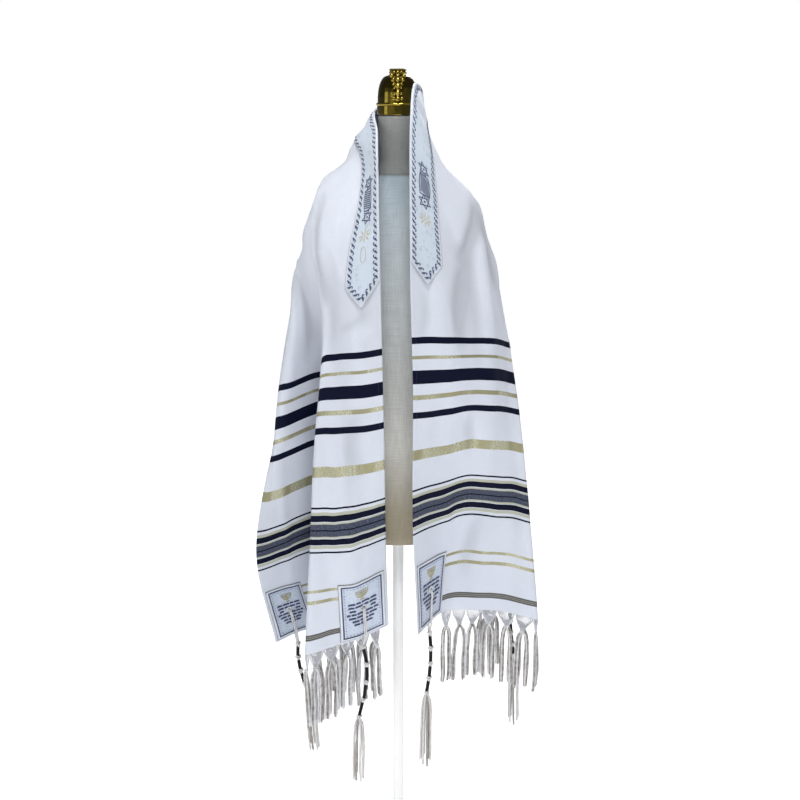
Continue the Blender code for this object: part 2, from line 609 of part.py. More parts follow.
def add_hanger(bm, cells, tassel, hole, normal, right, front, up):
    """The doubled cord: up the patch, through the hole, and down behind the cloth."""
    clear = CLOTH / 2 + GAP + TRIM + CORD_RADIUS + 0.0006
    heights = (0.001, 0.024, HOLE_UP - 0.006)
    s = np.array([hem_s(tassel.side, height) for height in heights])
    points, normals = drape(s, np.full(s.shape, tassel.across))
    before = [Vector(p) + Vector(n) * clear for p, n in zip(points, normals)]
    behind = [Vector(p) - Vector(n) * (clear - TRIM - GAP) for p, n in zip(points, normals)]
    path = before + [hole + normal * 0.002, hole - normal * 0.002] + behind[::-1]
    ups = [front] * 3 + [up] * 2 + [-front] * 3
    corners = cells[1, 2]
    size = CORD_RADIUS * 0.8
    last = tube_cells(bm, corners, path, right, ups, size)
    target = cells[1, 0]
    target = [target[3], target[2], target[1], target[0]]
    for k in range(4):
        bm.faces.new((last[k], last[(k + 1) % 4], target[(k + 1) % 4], target[k]))


# ---- the form and its stand -------------------------------------------------------------------
Section = namedtuple("Section", "depth half_width half_depth shift")
TORSO = (
    Section(RING_HEIGHT / 2 + SEAT_GAP, NECK_RADIUS, NECK_RADIUS, 0.0),
    Section(0.045, 0.0280, 0.0280, 0.000),
    Section(0.080, 0.0295, 0.0290, 0.000),
    Section(0.098, 0.0400, 0.0330, 0.000),
    Section(0.112, 0.0640, 0.0390, 0.002),
    Section(0.126, 0.0860, 0.0460, 0.003),
    Section(0.145, 0.0990, 0.0530, 0.002),
    Section(0.175, 0.1060, 0.0620, 0.000),
    Section(0.220, 0.1050, 0.0680, -0.002),
    Section(0.280, 0.0980, 0.0680, -0.002),
    Section(0.350, 0.0880, 0.0620, -0.001),
    Section(0.410, 0.0820, 0.0590, 0.000),
    Section(0.480, 0.0860, 0.0620, 0.001),
    Section(0.560, 0.0940, 0.0670, 0.003),
    Section(0.620, 0.0960, 0.0690, 0.004),
    Section(0.645, 0.0935, 0.0675, 0.004),
    Section(TORSO_BOTTOM, 0.0840, 0.0590, 0.004),
)


def build_torso(material, collection, sides=24):
    bm = bmesh.new()
    rings = []
    for section in TORSO:
        z = RING_Z - section.depth
        rings.append([bm.verts.new((section.half_width * math.cos(angle),
                                    section.shift + section.half_depth * math.sin(angle), z))
                      for angle in (2 * math.pi * k / sides for k in range(sides))])
    for upper, lower in zip(rings, rings[1:]):
        for k in range(sides):
            bm.faces.new((upper[k], lower[k], lower[(k + 1) % sides], upper[(k + 1) % sides]))
    bm.faces.new(rings[0])
    bm.faces.new(rings[-1][::-1])
    add_object("form_torso", bm, material, collection)


def build_turned(name, profile, base_z, material, collection, steps=36):
    """A turned solid from a profile of (radius, height), listed from the top down."""
    bm = bmesh.new()
    verts = [bm.verts.new((radius, 0, height)) for radius, height in profile]
    for a, b in zip(verts, verts[1:]):
        bm.edges.new((a, b))
    obj = add_object(name, bm, material, collection)
    obj.location.z = base_z
    screw = obj.modifiers.new("turn", "SCREW")
    screw.steps = steps
    screw.render_steps = steps
    screw.use_merge_vertices = True
    screw.merge_threshold = 0.0001
    screw.use_smooth_shade = True
    return obj


def arc(centre_r, centre_z, radius, start, end, count):
    """Points on a quarter or other part of a circle, angles in degrees from the +radius axis."""
    return [(centre_r + radius * math.cos(math.radians(a)), centre_z + radius * math.sin(math.radians(a)))
            for a in (start + (end - start) * k / (count - 1) for k in range(count))]


def build_cap(gold, collection):
    """The ring on the neck, the dome that stands on it and the flat crown on top."""
    half = RING_HEIGHT / 2
    edge = 0.0015
    ring = [(0, half), (RING_RADIUS - edge, half)] \
        + arc(RING_RADIUS - edge, half - edge, edge, 60, 0, 3) \
        + arc(RING_RADIUS - edge, -half + edge, edge, 0, -60, 3) \
        + [(RING_RADIUS - edge, -half), (0, -half)]
    build_turned("form_neck_ring", ring, RING_Z, gold, collection)
    dome_base = RING_Z + half + SEAT_GAP
    seat = 0.008
    dome = [(0, DOME_HEIGHT), (seat, DOME_HEIGHT)]
    for k in range(1, 9):
        angle = math.radians(72 - 72 * k / 8)
        dome.append((DOME_RADIUS * math.cos(angle) ** 0.5, DOME_HEIGHT * math.sin(angle) ** 0.78 * 0.985))
    dome[-1] = (DOME_RADIUS, 0)
    dome.append((0, 0))
    build_turned("form_cap", dome, dome_base, gold, collection)
    crown = ((0, 1.0), (0.92, 1.0), (1.0, 0.90), (0.97, 0.62), (0.80, 0.48), (0.88, 0.34), (0.66, 0.18),
             (0.62, 0), (0, 0))
    build_turned("form_finial", [(r * FINIAL_RADIUS, z * FINIAL_HEIGHT) for r, z in crown],
                 dome_base + DOME_HEIGHT + SEAT_GAP, gold, collection)


def build_stand(paint, collection):
    edge = 0.003
    top = BASE_THICKNESS
    base = [(0, top + 0.006), (0.020, top + 0.006), (0.026, top + 0.002)] \
        + arc(BASE_RADIUS - edge, top - edge, edge, 80, 0, 4) + [(BASE_RADIUS, 0.0), (0, 0.0)]
    build_turned("stand_base", base, 0.0, paint, collection, steps=32)
    low = top + 0.006 + SEAT_GAP
    high = RING_Z - TORSO_BOTTOM - SEAT_GAP
    collar = 0.020
    pole = [(0, high), (0.020, high), (0.020, high - 0.006), (POLE_RADIUS + 0.004, high - collar),
            (POLE_RADIUS, high - collar), (POLE_RADIUS, low), (0, low)]
    build_turned("stand_pole", pole, 0.0, paint, collection, steps=16)


def main():
    clear_scene()
    collection = bpy.data.collections.new("prayer_shawl_on_form")
    bpy.context.scene.collection.children.link(collection)
    white = make_material("white_cloth", (0.86, 0.87, 0.90), 0.85)
    satin = make_material("pale_satin", (0.62, 0.68, 0.78), 0.45)
    linen = make_material("linen_cover", (0.50, 0.49, 0.44), 0.90)
    gold = make_material("gold_metal", (0.55, 0.40, 0.10), 0.22, 1.0)
    paint = make_material("white_paint", (0.76, 0.76, 0.74), 0.40)
    build_shawl(white, collection)
    build_neckband(satin, collection)
    build_patches(satin, collection)
    build_fringe(-1, "fringe_left", white, collection)
    build_fringe(1, "fringe_right", white, collection)
    for tassel in TASSELS:
        build_tassel(tassel, white, collection)
    build_torso(linen, collection)
    build_cap(gold, collection)
    build_stand(paint, collection)


main()
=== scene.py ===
"""Looks of the striped prayer shawl on its dress form: cloth, neckband, patches, fringes, tassels, form.

Metres, +Z up, the front towards -Y. A point of the cloth is named by s, its distance along the shawl
from the centre back (negative on the left), and t, its distance across from the neck edge. The long
tables are in millimetres and are turned into metres where they are read.
"""

import math
from collections import namedtuple

import bpy
import numpy as np
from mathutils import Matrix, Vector


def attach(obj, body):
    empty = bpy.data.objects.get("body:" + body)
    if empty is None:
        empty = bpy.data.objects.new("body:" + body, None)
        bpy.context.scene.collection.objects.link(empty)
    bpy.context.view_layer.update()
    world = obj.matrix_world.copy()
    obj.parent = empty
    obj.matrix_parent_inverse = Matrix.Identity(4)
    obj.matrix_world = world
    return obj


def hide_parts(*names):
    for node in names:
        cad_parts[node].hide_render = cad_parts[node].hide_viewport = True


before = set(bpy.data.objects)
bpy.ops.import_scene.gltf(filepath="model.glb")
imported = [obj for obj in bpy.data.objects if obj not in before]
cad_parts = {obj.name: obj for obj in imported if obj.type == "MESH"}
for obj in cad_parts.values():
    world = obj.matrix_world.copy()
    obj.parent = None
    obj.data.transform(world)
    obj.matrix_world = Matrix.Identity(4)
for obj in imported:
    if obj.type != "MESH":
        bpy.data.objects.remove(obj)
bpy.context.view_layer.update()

TURN = 2 * math.pi
UP = np.array([0, 0, 1.0])

# ---- sizes, the same as the model's --------------------------------------------------------------
RING_Z = 1.36                           # middle of the ring on the form's neck
SHAWL_WIDTH = 0.50
LEFT_LENGTH, RIGHT_LENGTH = 0.875, 0.915        # from the centre back to each hem
STRIPED = 0.48                          # the stretch above a hem in which s is true to length
FOLD_LOOP = 0.015                       # cloth taken up where it is folded back on itself
FOLD_ROUND, SWAY_ROUND = 0.010, 0.036   # half the length over which a fold or a slight bend is rounded
FOLD_NEAR, LEFT_FOLD_FROM = 0.026, 0.1  # reach of a fold's tight rounding, where the left one is whole
BAND_WIDTH, BAND_POINT = 0.058, 0.031
BAND_LEFT, BAND_RIGHT = -0.312, 0.346   # where the neckband's sides end and its points begin
PATCH_INSET, PATCH_OUT = 0.005, 0.084   # sides of a corner patch, from the cloth's long edge
PATCH_LOW, PATCH_TOP = 0.003, 0.111     # its lower and upper side, above the hem
HOLE_ACROSS, HOLE_UP = 0.043, 0.059     # the hole for the tassel
FRINGE_GROUPS = 13
KNOT_DROP, LOCK_DROP = 0.026, 0.130     # knots and tips of the fringe, below the hem

STATIONS = ("left_hem", "left_low", "left_waist", "left_bust", "left_collar", "left_side", "centre",
            "right_side", "right_collar", "right_bust", "right_waist", "right_low", "right_hem")
Crease = namedtuple("Crease", STATIONS)
# Each station in millimetres: across the cloth from the neck edge, x, y, and depth below the ring.
CREASES = (
    # neck edge
    Crease((0, -15.1, -66, 790), (0, -17.7, -85, 690), (0, -20.3, -116, 450), (0, -23.5, -106, 280),
           (0, -28.5, -40, 30), (0, -29, 21, -4), (0, 0, 46, -16), (0, 32, 8, -26.5), (0, 24.5, -36, -37),
           (0, 17, -100, 205), (0, 21.5, -112, 380), (0, 22.5, -122, 600), (0, 30.7, -130, 772)),
    # soft bend beside the neckband, a shallow valley on the right
    Crease((60, -68.3, -85, 806), (60, -75, -121, 615), (60, -75, -120, 455), (60, -80, -92, 260),
           (60, -55, -6, 60.5), (64, -69, 16.5, 46), (70, 0, 64, 45), (95, 44, 3.5, 56.5),
           (95, 60, -34.5, 70.5), (92, 88, -70, 205), (92, 98, -98, 385), (95, 85, -58, 600),
           (100, 73, -45, 773)),
    # left front fold, middle of the right panel
    Crease((145, -143, -130, 806), (140, -133, -122, 640), (130, -121.5, -120, 464),
           (112, -106, -110, 300), (125, -120.5, -55, 157), (145, -102.5, 49.5, 94.5), (160, 0, 88, 135),
           (150, 86, 10, 99), (145, 102.5, -35, 116.5), (150, 128, -52, 250), (160, 145, -68, 400),
           (170, 150, -50, 608), (175, 146, -38, 776)),
    # left hidden tuck, right side fold
    Crease((285, -30, -30, 815), (275, -45, -92, 640), (250, -45, -90, 460), (200, -76.5, -85, 320),
           (185, -140, -25, 175), (220, -131, 35, 160), (250, 0, 105, 225), (210, 119, 14, 130),
           (200, 136, -15, 190), (205, 160, -30, 290), (225, 181, -40, 410), (245, 208, -45, 620),
           (250, 227, -45, 792)),
    # left valley, right hidden tuck
    Crease((395, -122, 6, 830), (335, -120, -45, 650), (320, -115, -45, 450), (270, -115, -50, 320),
           (240, -145, 0, 205), (290, -130, 55, 215), (340, 0, 115, 315), (300, 126, 52, 210),
           (290, 148, 18, 225), (300, 140, 2, 320), (310, 122, 18, 450), (330, 118, 20, 625),
           (340, 135, 20, 800)),
    # left outer bulge, rear bend on the right
    Crease((450, -164, -20, 826), (445, -184, -80, 640), (430, -182, -83, 440), (380, -163, -45, 290),
           (340, -159.5, 30, 240), (370, -128, 80, 300), (420, 0, 121, 410), (400, 118, 96, 335),
           (390, 152, 64, 280), (400, 163, 22, 310), (405, 154, 30, 460), (407, 160, 42, 640),
           (407, 170, 48, 808)),
    # outer edge
    Crease((500, -198, -55, 828), (500, -215.5, -102, 640), (500, -182, -52, 460), (500, -159, 31, 366),
           (500, -140, 90, 370), (500, -100, 113, 470), (500, 0, 126, 500), (500, 100, 117, 475),
           (500, 152, 102, 370), (500, 172, 60, 345), (500, 180, 50, 460), (500, 195, 62, 650),
           (500, 215, 82, 825)))

SoftFold = namedtuple("SoftFold", "along across half_along half_across height")
# Soft folds of the drape, in millimetres: their middles (s and t), half sizes and height.
SOFT_FOLDS = (
    (-700, 55, 260, 16, 4), (-660, 100, 300, 14, -3.5), (-300, 85, 200, 16, 4.5), (340, 150, 220, 22, 5),
    (700, 150, 280, 20, 5), (660, 200, 300, 18, -4), (-130, 420, 35, 160, 9), (-60, 440, 20, 140, -6),
    (20, 430, 30, 150, 8), (90, 430, 24, 140, -7), (160, 430, 30, 160, 9))
# A soft average over the length that is rounded: place between its ends, weight.
ROUNDING_TAPS = ((-1, 0.5), (-0.67, 1), (-0.33, 1.5), (0, 2), (0.33, 1.5), (0.67, 1), (1, 0.5))


def in_metres(kind, rows):
    """Rows of a table in millimetres as named tuples in metres."""
    return [kind(*(value / 1000 for value in row)) for row in rows]


def arc_length(points):
    """Distance along a path at each of its points."""
    return np.concatenate([[0], np.cumsum(np.linalg.norm(np.diff(points, axis=0), axis=1))])


def cubic(u, span, low, high, low_slope, high_slope):
    """A curve from low to high over a span, with a slope at each end; u runs from 0 to 1."""
    return ((2 * u**3 - 3 * u**2 + 1) * low + (u**3 - 2 * u**2 + u) * span * low_slope
            + (3 * u**2 - 2 * u**3) * high + (u**3 - u**2) * span * high_slope)


def unit(vectors):
    return vectors / np.maximum(np.linalg.norm(vectors, axis=-1, keepdims=True), 1e-9)


def as_arrays(*values):
    return np.broadcast_arrays(*(np.asarray(value, dtype=float) for value in values))


class CreaseLine:
    """One crease, read at a distance s from the centre back, negative to the left."""

    def __init__(self, stations, steps=16):
        points = np.array(stations) / 1000
        points[:, 3] = RING_Z - points[:, 3]
        spans = np.diff(arc_length(points[:, 1:]))[:, None]
        slopes = np.diff(points, axis=0) / spans
        inner = (slopes[:-1] * spans[1:] + slopes[1:] * spans[:-1]) / (spans[1:] + spans[:-1])
        slopes = np.vstack([slopes[:1], inner, slopes[-1:]])
        u = np.linspace(0, 1, steps + 1)[1:, None]
        ends = zip(spans, points, points[1:], slopes, slopes[1:])
        self.rows = np.vstack([points[:1]] + [cubic(u, *values) for values in ends])
        self.arc = arc_length(self.rows[:, 1:])
        self.middle = self.arc[STATIONS.index("centre") * steps]

    def at(self, s):
        """Rows of (across, x, y, z). What a crease's length differs by is eased in above the stripes."""
        s = np.asarray(s, dtype=float)
        nominal = np.where(s < 0, LEFT_LENGTH, RIGHT_LENGTH)
        length = np.where(s < 0, self.middle, self.arc[-1] - self.middle)
        from_hem = nominal - np.abs(s)
        ease = np.clip((from_hem - STRIPED) / (nominal - STRIPED), 0, 1)
        from_hem = from_hem + (length - nominal) * ease * ease * (3 - 2 * ease)
        arc = np.where(s < 0, from_hem, self.arc[-1] - from_hem)
        return np.stack([np.interp(arc, self.arc, self.rows[:, k]) for k in range(4)], axis=-1)


CREASE_LINES = [CreaseLine(crease) for crease in CREASES]
FOLDS = CREASE_LINES[2:5]               # the creases where the cloth turns back on itself


def weft_nodes(s):
    """Corners of the crosswise line at s: (across, x, y, z) for each crease, two at a doubled fold."""
    nodes = np.stack([line.at(s) for line in CREASE_LINES])
    rows = [nodes[0]]
    for before, here, after in zip(nodes, nodes[1:], nodes[2:]):
        into = unit(here[..., 1:] - before[..., 1:])
        out = unit(after[..., 1:] - here[..., 1:])
        turn = (1 - np.sum(into * out, axis=-1, keepdims=True)) / 2
        sideways = unit(into + out) * turn * FOLD_LOOP / 2
        step = np.concatenate([np.maximum(turn * FOLD_LOOP / 2, 1e-4), sideways], axis=-1)
        rows += [here - step, here + step]
    rows.append(nodes[-1])
    return np.stack(rows)


def rounding(s, t):
    """Half the length over which a bend is rounded: short at folds, long where the cloth only sways."""
    near = np.zeros(s.shape)
    for k, line in enumerate(FOLDS):
        share = np.clip(-s / LEFT_FOLD_FROM, 0, 1) if k == 0 else 1
        near = np.maximum(near, share * np.exp(-((t - line.at(s)[..., 0]) / FOLD_NEAR) ** 2))
    return FOLD_ROUND + (SWAY_ROUND - FOLD_ROUND) * (1 - near)


def flat_drape(s, t):
    """Points of the cloth's middle surface, for arrays s and t of the same shape, without soft folds."""
    s, t = as_arrays(s, t)
    shape = s.shape
    s, t = s.ravel(), t.ravel()
    nodes = weft_nodes(s)
    reach = np.minimum(rounding(s, t), np.minimum(t, SHAWL_WIDTH - t))
    total = np.zeros((s.size, 3))
    for offset, weight in ROUNDING_TAPS:
        across = t + offset * reach
        index = np.clip(np.sum(nodes[:, :, 0] <= across, axis=0), 1, len(nodes) - 1)
        low, high = (nodes[k, np.arange(s.size)] for k in (index - 1, index))
        share = ((across - low[:, 0]) / (high[:, 0] - low[:, 0]))[:, None]
        total += weight * (low[:, 1:] + share * (high[:, 1:] - low[:, 1:]))
    return (total / sum(weight for _, weight in ROUNDING_TAPS)).reshape(shape + (3,))


def outward(s, t, reach=0.003):
    """Unit normals on the side that faces away from the form."""
    low, high = (np.clip(t + step, 0, SHAWL_WIDTH) for step in (-reach, reach))
    along = flat_drape(s + reach, t) - flat_drape(s - reach, t)
    return unit(np.cross(along, flat_drape(s, high) - flat_drape(s, low)))


def drape(s, t):
    """Points and outward normals of the cloth's middle surface."""
    s, t = as_arrays(s, t)
    height = np.zeros(s.shape)
    for fold in in_metres(SoftFold, SOFT_FOLDS):
        u, v = (s - fold.along) / fold.half_along, (t - fold.across) / fold.half_across
        height += fold.height * np.exp(-u * u - v * v)
    normals = outward(s, t)
    return flat_drape(s, t) + normals * height[..., None], normals


def hem_s(side, up):
    """The distance from the centre back of a line that lies 'up' above the hem of a side."""
    return side * ((LEFT_LENGTH if side < 0 else RIGHT_LENGTH) - up)


# ---- the cloth's surface as shown: the drape with soft creases pressed into it -------------------
# A crease runs from (s0, t0) to (s1, t1), in millimetres; a trough has a negative height.
Ridge = namedtuple("Ridge", "s0 t0 s1 t1 width height")
RIDGES = (
    # left front panel
    (-860, 30, -560, 22, 10, 1.2), (-850, 105, -470, 92, 12, 1.6), (-700, 70, -420, 52, 11, -1.4),
    (-520, 112, -300, 86, 13, 1.8), (-440, 28, -330, 50, 9, 1.2), (-400, 90, -230, 128, 12, 2),
    (-340, 70, -210, 98, 9, -1.4), (-310, 140, -170, 170, 12, 1.8),
    # left outer panel and shoulder
    (-840, 340, -560, 330, 12, -1.4), (-800, 440, -520, 420, 13, 1.8), (-600, 470, -420, 452, 10, -1.4),
    (-480, 380, -260, 350, 13, 2), (-360, 440, -200, 400, 12, -1.8), (-300, 290, -120, 250, 12, 2),
    (-230, 90, -90, 120, 11, 1.8), (-190, 200, -70, 180, 12, -1.6),
    # back
    (-130, 120, -20, 230, 12, 1.8), (130, 110, 30, 240, 12, 2), (-90, 240, -20, 330, 12, -1.6),
    (100, 250, 20, 350, 12, -1.6), (-160, 340, -60, 470, 13, 1.8), (170, 330, 70, 470, 13, 2),
    (5, 140, -4, 300, 10, 1.2), (50, 400, 45, 495, 12, -1.4),
    # right shoulder and panel
    (110, 70, 230, 110, 11, 2), (150, 180, 300, 160, 12, -1.6), (230, 80, 380, 120, 12, 2),
    (210, 230, 400, 250, 13, 1.8), (300, 130, 520, 110, 12, -1.6), (360, 170, 620, 185, 13, 1.8),
    (400, 60, 560, 75, 10, 1.4), (500, 130, 800, 140, 12, 1.8), (560, 215, 850, 205, 12, -1.6),
    (620, 95, 890, 90, 10, -1.2), (700, 170, 900, 165, 11, 1.4), (380, 330, 640, 350, 12, 1.6),
    (430, 440, 700, 455, 12, -1.6), (620, 380, 880, 370, 12, 1.6),
    # broad soft hollows and swells of both fronts
    (-265, 104, -410, 94, 18, -3.8), (240, 195, 380, 170, 19, -4), (-160, 128, -340, 104, 10, -5.6),
    (-185, 98, -305, 64, 17, 4), (-350, 12, -372, 70, 7, -2.2), (-372, 10, -385, 45, 6, 1.8),
    (215, 155, 340, 100, 15, -6.2), (300, 100, 480, 90, 17, -6.4), (280, 150, 480, 150, 15, 3.6),
    (350, 50, 500, 44, 14, 3.2), (385, 24, 470, 20, 8, -1.6), (540, 70, 640, 75, 16, 3),
    (560, 112, 640, 115, 14, -2.6), (-480, 50, -600, 40, 16, -2.4), (-500, 90, -590, 85, 14, 2.6),
    (-260, 270, -400, 330, 17, -3.6), (-350, 380, -520, 415, 15, 3.2), (690, 60, 830, 100, 14, 3),
    (700, 140, 860, 130, 13, -2.6), (-640, 60, -760, 80, 14, 2.6))
RIDGE_ROWS = in_metres(Ridge, RIDGES)
RIPPLE = 0.00022                        # height of the unevenness between the creases


def relief(s, t):
    """Height of the small creases over the drape; each of them is bent a little and fades at its ends."""
    height = RIPPLE * np.sin(61 * s + 23 * t) * np.sin(47 * t - 19 * s)
    for i, ridge in enumerate(RIDGE_ROWS):
        run, rise = ridge.s1 - ridge.s0, ridge.t1 - ridge.t0
        along = np.clip(((s - ridge.s0) * run + (t - ridge.t0) * rise) / (run * run + rise * rise), 0, 1)
        bend = ridge.width * 0.5 * np.sin(5.0 * along + 1.7 * i)
        away = np.hypot(s - ridge.s0 - along * run, t - ridge.t0 - along * rise - bend)
        swell = np.sin(math.pi * along) ** 0.8 * np.exp(-(away / ridge.width) ** 2)
        height = height + ridge.height * swell
    return height


def surface(s, t, lift=0.0):
    """Points and outward normals of the shown cloth, lifted off its middle surface."""
    points, normals = drape(s, t)
    s, t = as_arrays(s, t)
    return points + normals * (relief(s, t) + lift)[..., None], normals


# How far the weft is pulled towards the hem where the cloth is draped askew, in millimetres: a row for
# each distance above the hem, read at the marks across the cloth.
SKEW_SPREAD = (-0.012, -0.006, 0, 0.006, 0.012)     # each pull is the mean of readings at these shifts
SKEW_HEM = (0.0, 0.10, 0.20, 0.354, 0.408, 0.463, 0.58)
LEFT_MARKS = (0, 0.03, 0.06, 0.09, 0.12, 0.20, 0.32, 0.36, 0.40, 0.44, 0.48, 0.50)
LEFT_SKEW = (
    (0,) * 12,
    (1, 0, -2, 0, 0.5, 0, 0, 0, 2, 5, 8, 8),
    (2.5, -1, -5, 0, 1, 0, 0, -1, 4, 12, 17, 16),
    (0, -2.5, -7.5, -7, -3.8, 0, 2, 5, 13, 19, 20, 18),
    (-1, -4, -9, -8, -4, 0, 2, 9, 16.5, 19.5, 19, 17.5),
    (0, -3, -7.8, -5.2, 0, 0, 6, 13.4, 18, 19.5, 17, 14),
    (0,) * 12)
RIGHT_MARKS = (0, 0.03, 0.06, 0.09, 0.12, 0.15, 0.18, 0.22, 0.30, 0.50)
RIGHT_SKEW = (
    (0,) * 10,
    (3, 2, 3, 1, -1, -2, 0, -1, 0, 0),
    (7.5, 4.5, 6, 3, -4.7, -4.5, 1, -3, 0, 0),
    (7.8, 5.8, 1.3, -3.7, -1.8, 1.8, 3.6, 3, 2, 0),
    (5.3, 3.4, 1.4, -1, 1.4, 5, 5.7, 4.5, 2, 0),
    (6, 3.6, 3.5, 4.4, 7.4, 10.3, 9.8, 5.4, 2, 0),
    (0,) * 10)


def woven_s(s, t):
    """The s of the weft thread that passes a point, which the stripes follow."""
    pull = np.zeros(s.shape)
    for side, marks, rows in ((-1, LEFT_MARKS, LEFT_SKEW), (1, RIGHT_MARKS, RIGHT_SKEW)):
        here = s * side > 0
        if not here.any():
            continue
        near = t[here] + np.array(SKEW_SPREAD)[:, None]
        levels = np.array([np.interp(near, marks, row).mean(axis=0) for row in rows])
        up = side * (hem_s(side, 0) - s[here])
        k = np.clip(np.searchsorted(SKEW_HEM, up) - 1, 0, len(SKEW_HEM) - 2)
        low, high = np.take(SKEW_HEM, k), np.take(SKEW_HEM, k + 1)
        share = np.clip((up - low) / (high - low), 0, 1)
        n = np.arange(len(k))
        pull[here] = side * (levels[k, n] * (1 - share) + levels[k + 1, n] * share) / 1000
    return s - pull


# ---- meshes --------------------------------------------------------------------------------------
def make_object(name, verts, faces, materials, uv=None, slots=None, wall=0.0):
    """A smooth mesh object; uv has a pair for each vertex, slots a material's place for each face."""
    mesh = bpy.data.meshes.new(name)
    mesh.from_pydata([tuple(v) for v in verts], [], [tuple(f) for f in faces])
    for material in materials:
        mesh.materials.append(material)
    if uv is not None:
        corner = np.empty(len(mesh.loops), dtype=int)
        mesh.loops.foreach_get("vertex_index", corner)
        pairs = np.asarray(uv, dtype=float)[corner]
        mesh.uv_layers.new(name="cloth").data.foreach_set("uv", pairs.ravel())
    if slots is not None:
        mesh.polygons.foreach_set("material_index", np.asarray(slots, dtype=int))
    mesh.shade_smooth()
    obj = bpy.data.objects.new(name, mesh)
    bpy.context.scene.collection.objects.link(obj)
    if wall:
        solidify = obj.modifiers.new("wall", "SOLIDIFY")
        solidify.thickness, solidify.offset, solidify.use_even_offset = wall, 0, False
    return obj


def grid_faces(rows, columns, closed=False):
    """Quads of a grid of vertices, joined round when closed."""
    across = columns if closed else columns - 1
    r, c = np.meshgrid(np.arange(rows - 1), np.arange(across), indexing="ij")
    n = (c + 1) % columns
    a, b = r * columns + c, r * columns + n
    return np.stack([a, b, b + columns, a + columns], axis=-1).reshape(-1, 4)


def between(knots, counts):
    """Values from each knot to the next in equal steps."""
    values = [knots[0]]
    for low, high, count in zip(knots, knots[1:], counts):
        values += list(low + (high - low) * (np.arange(count) + 1) / count)
    return np.array(values)


def around(count):
    """Angles in equal steps round a full turn."""
    return TURN * np.arange(count) / count


def resample(path, step):
    """The path as a smooth curve through its points, in equal steps."""
    path = np.asarray(path, dtype=float)
    if len(path) > 2:
        knots = arc_length(path)
        slopes = np.gradient(path, knots, axis=0)
        u = np.linspace(0, 1, 9)[:-1, None]
        ends = zip(np.diff(knots), path, path[1:], slopes, slopes[1:])
        path = np.vstack([cubic(u, *values) for values in ends] + [path[-1:]])
    length = arc_length(path)
    marks = np.linspace(0, length[-1], max(3, int(round(length[-1] / step)) + 1))
    return np.stack([np.interp(marks, length, path[:, k]) for k in range(3)], axis=1)


def rings_along(path, turn, radius):
    """Points round each point of a path at the angles of turn; the rings twist as little as possible."""
    tangents = unit(np.gradient(path, axis=0))
    side = np.array([1.0, 0, 0]) if abs(tangents[0][0]) < 0.8 else np.array([0, 1.0, 0])
    sides = []
    for tangent in tangents:
        side = unit(side - tangent * np.dot(side, tangent))
        sides.append(side)
    sides, others = np.array(sides)[:, None], np.cross(tangents, sides)[:, None]
    return path[:, None] + (sides * np.cos(turn)[..., None] + others * np.sin(turn)[..., None]) * radius


PLY_SHARE = 0.60                # radius of a strand of a two-ply cord, as a share of the cord's


class Pile:
    """Vertices and faces of many small pieces that make one object."""

    def __init__(self):
        self.verts, self.faces, self.uv, self.slots = [], [], [], []
        self.count = 0

    def add(self, verts, faces, slot=0, uv=()):
        self.verts.append(np.asarray(verts, dtype=float))
        self.faces += [[int(k) + self.count for k in face] for face in faces]
        self.slots += [slot] * len(faces)
        self.uv += list(uv)
        self.count += len(verts)

    def tube(self, path, radius, sides=6, slot=0, uv_start=0.0):
        """A round strand along a path, closed at both ends."""
        angles = around(sides)
        uv = np.stack(as_arrays(arc_length(path)[:, None] + uv_start, angles[None] / TURN), axis=-1)
        last = (len(path) - 1) * sides
        ends = [list(range(sides))[::-1], list(range(last, last + sides))]
        self.add(rings_along(path, angles[None], radius).reshape(-1, 3),
                 grid_faces(len(path), sides, closed=True).tolist() + ends, slot, uv.reshape(-1, 2))

    def ply(self, path, radius, pitch, slot, sides, phase, step=0.0012):
        """A cord of two strands twisted round a path."""
        path, strand = resample(path, step), radius * PLY_SHARE
        turns = TURN * (arc_length(path)[:, None] / pitch + np.array([0, 0.5])) + phase
        for line in rings_along(path, turns, radius - strand).swapaxes(0, 1):
            self.tube(line, strand, sides, slot, uv_start=phase)

    def build(self, name, materials):
        return make_object(name, np.vstack(self.verts), self.faces, materials, self.uv, self.slots)


# ---- materials -----------------------------------------------------------------------------------
def operator(operation, swapped=False):
    """An arithmetic sign of Value, which adds a Math node."""
    return lambda self, other: self.finish.math(operation, *((other, self) if swapped else (self, other)))


class Value:
    """A number that shader nodes work out; arithmetic on it adds nodes to its finish."""

    def __init__(self, finish, socket):
        self.finish, self.socket = finish, socket

    __add__, __mul__, __sub__ = operator("ADD"), operator("MULTIPLY"), operator("SUBTRACT")
    __rsub__ = operator("SUBTRACT", swapped=True)
    __lt__, __gt__ = operator("LESS_THAN"), operator("GREATER_THAN")

    def wave(self, rate):
        """The sine at so many radians for each unit."""
        return self.finish.math("SINE", self * rate)

    def span(self, low, high, to_low=0.0, to_high=1.0):
        """Low to high mapped onto two other numbers, and held beyond them."""
        return self.finish.value("MapRange", "Result", {"Value": self, "From Min": low, "From Max": high,
                                                        "To Min": to_low, "To Max": to_high})


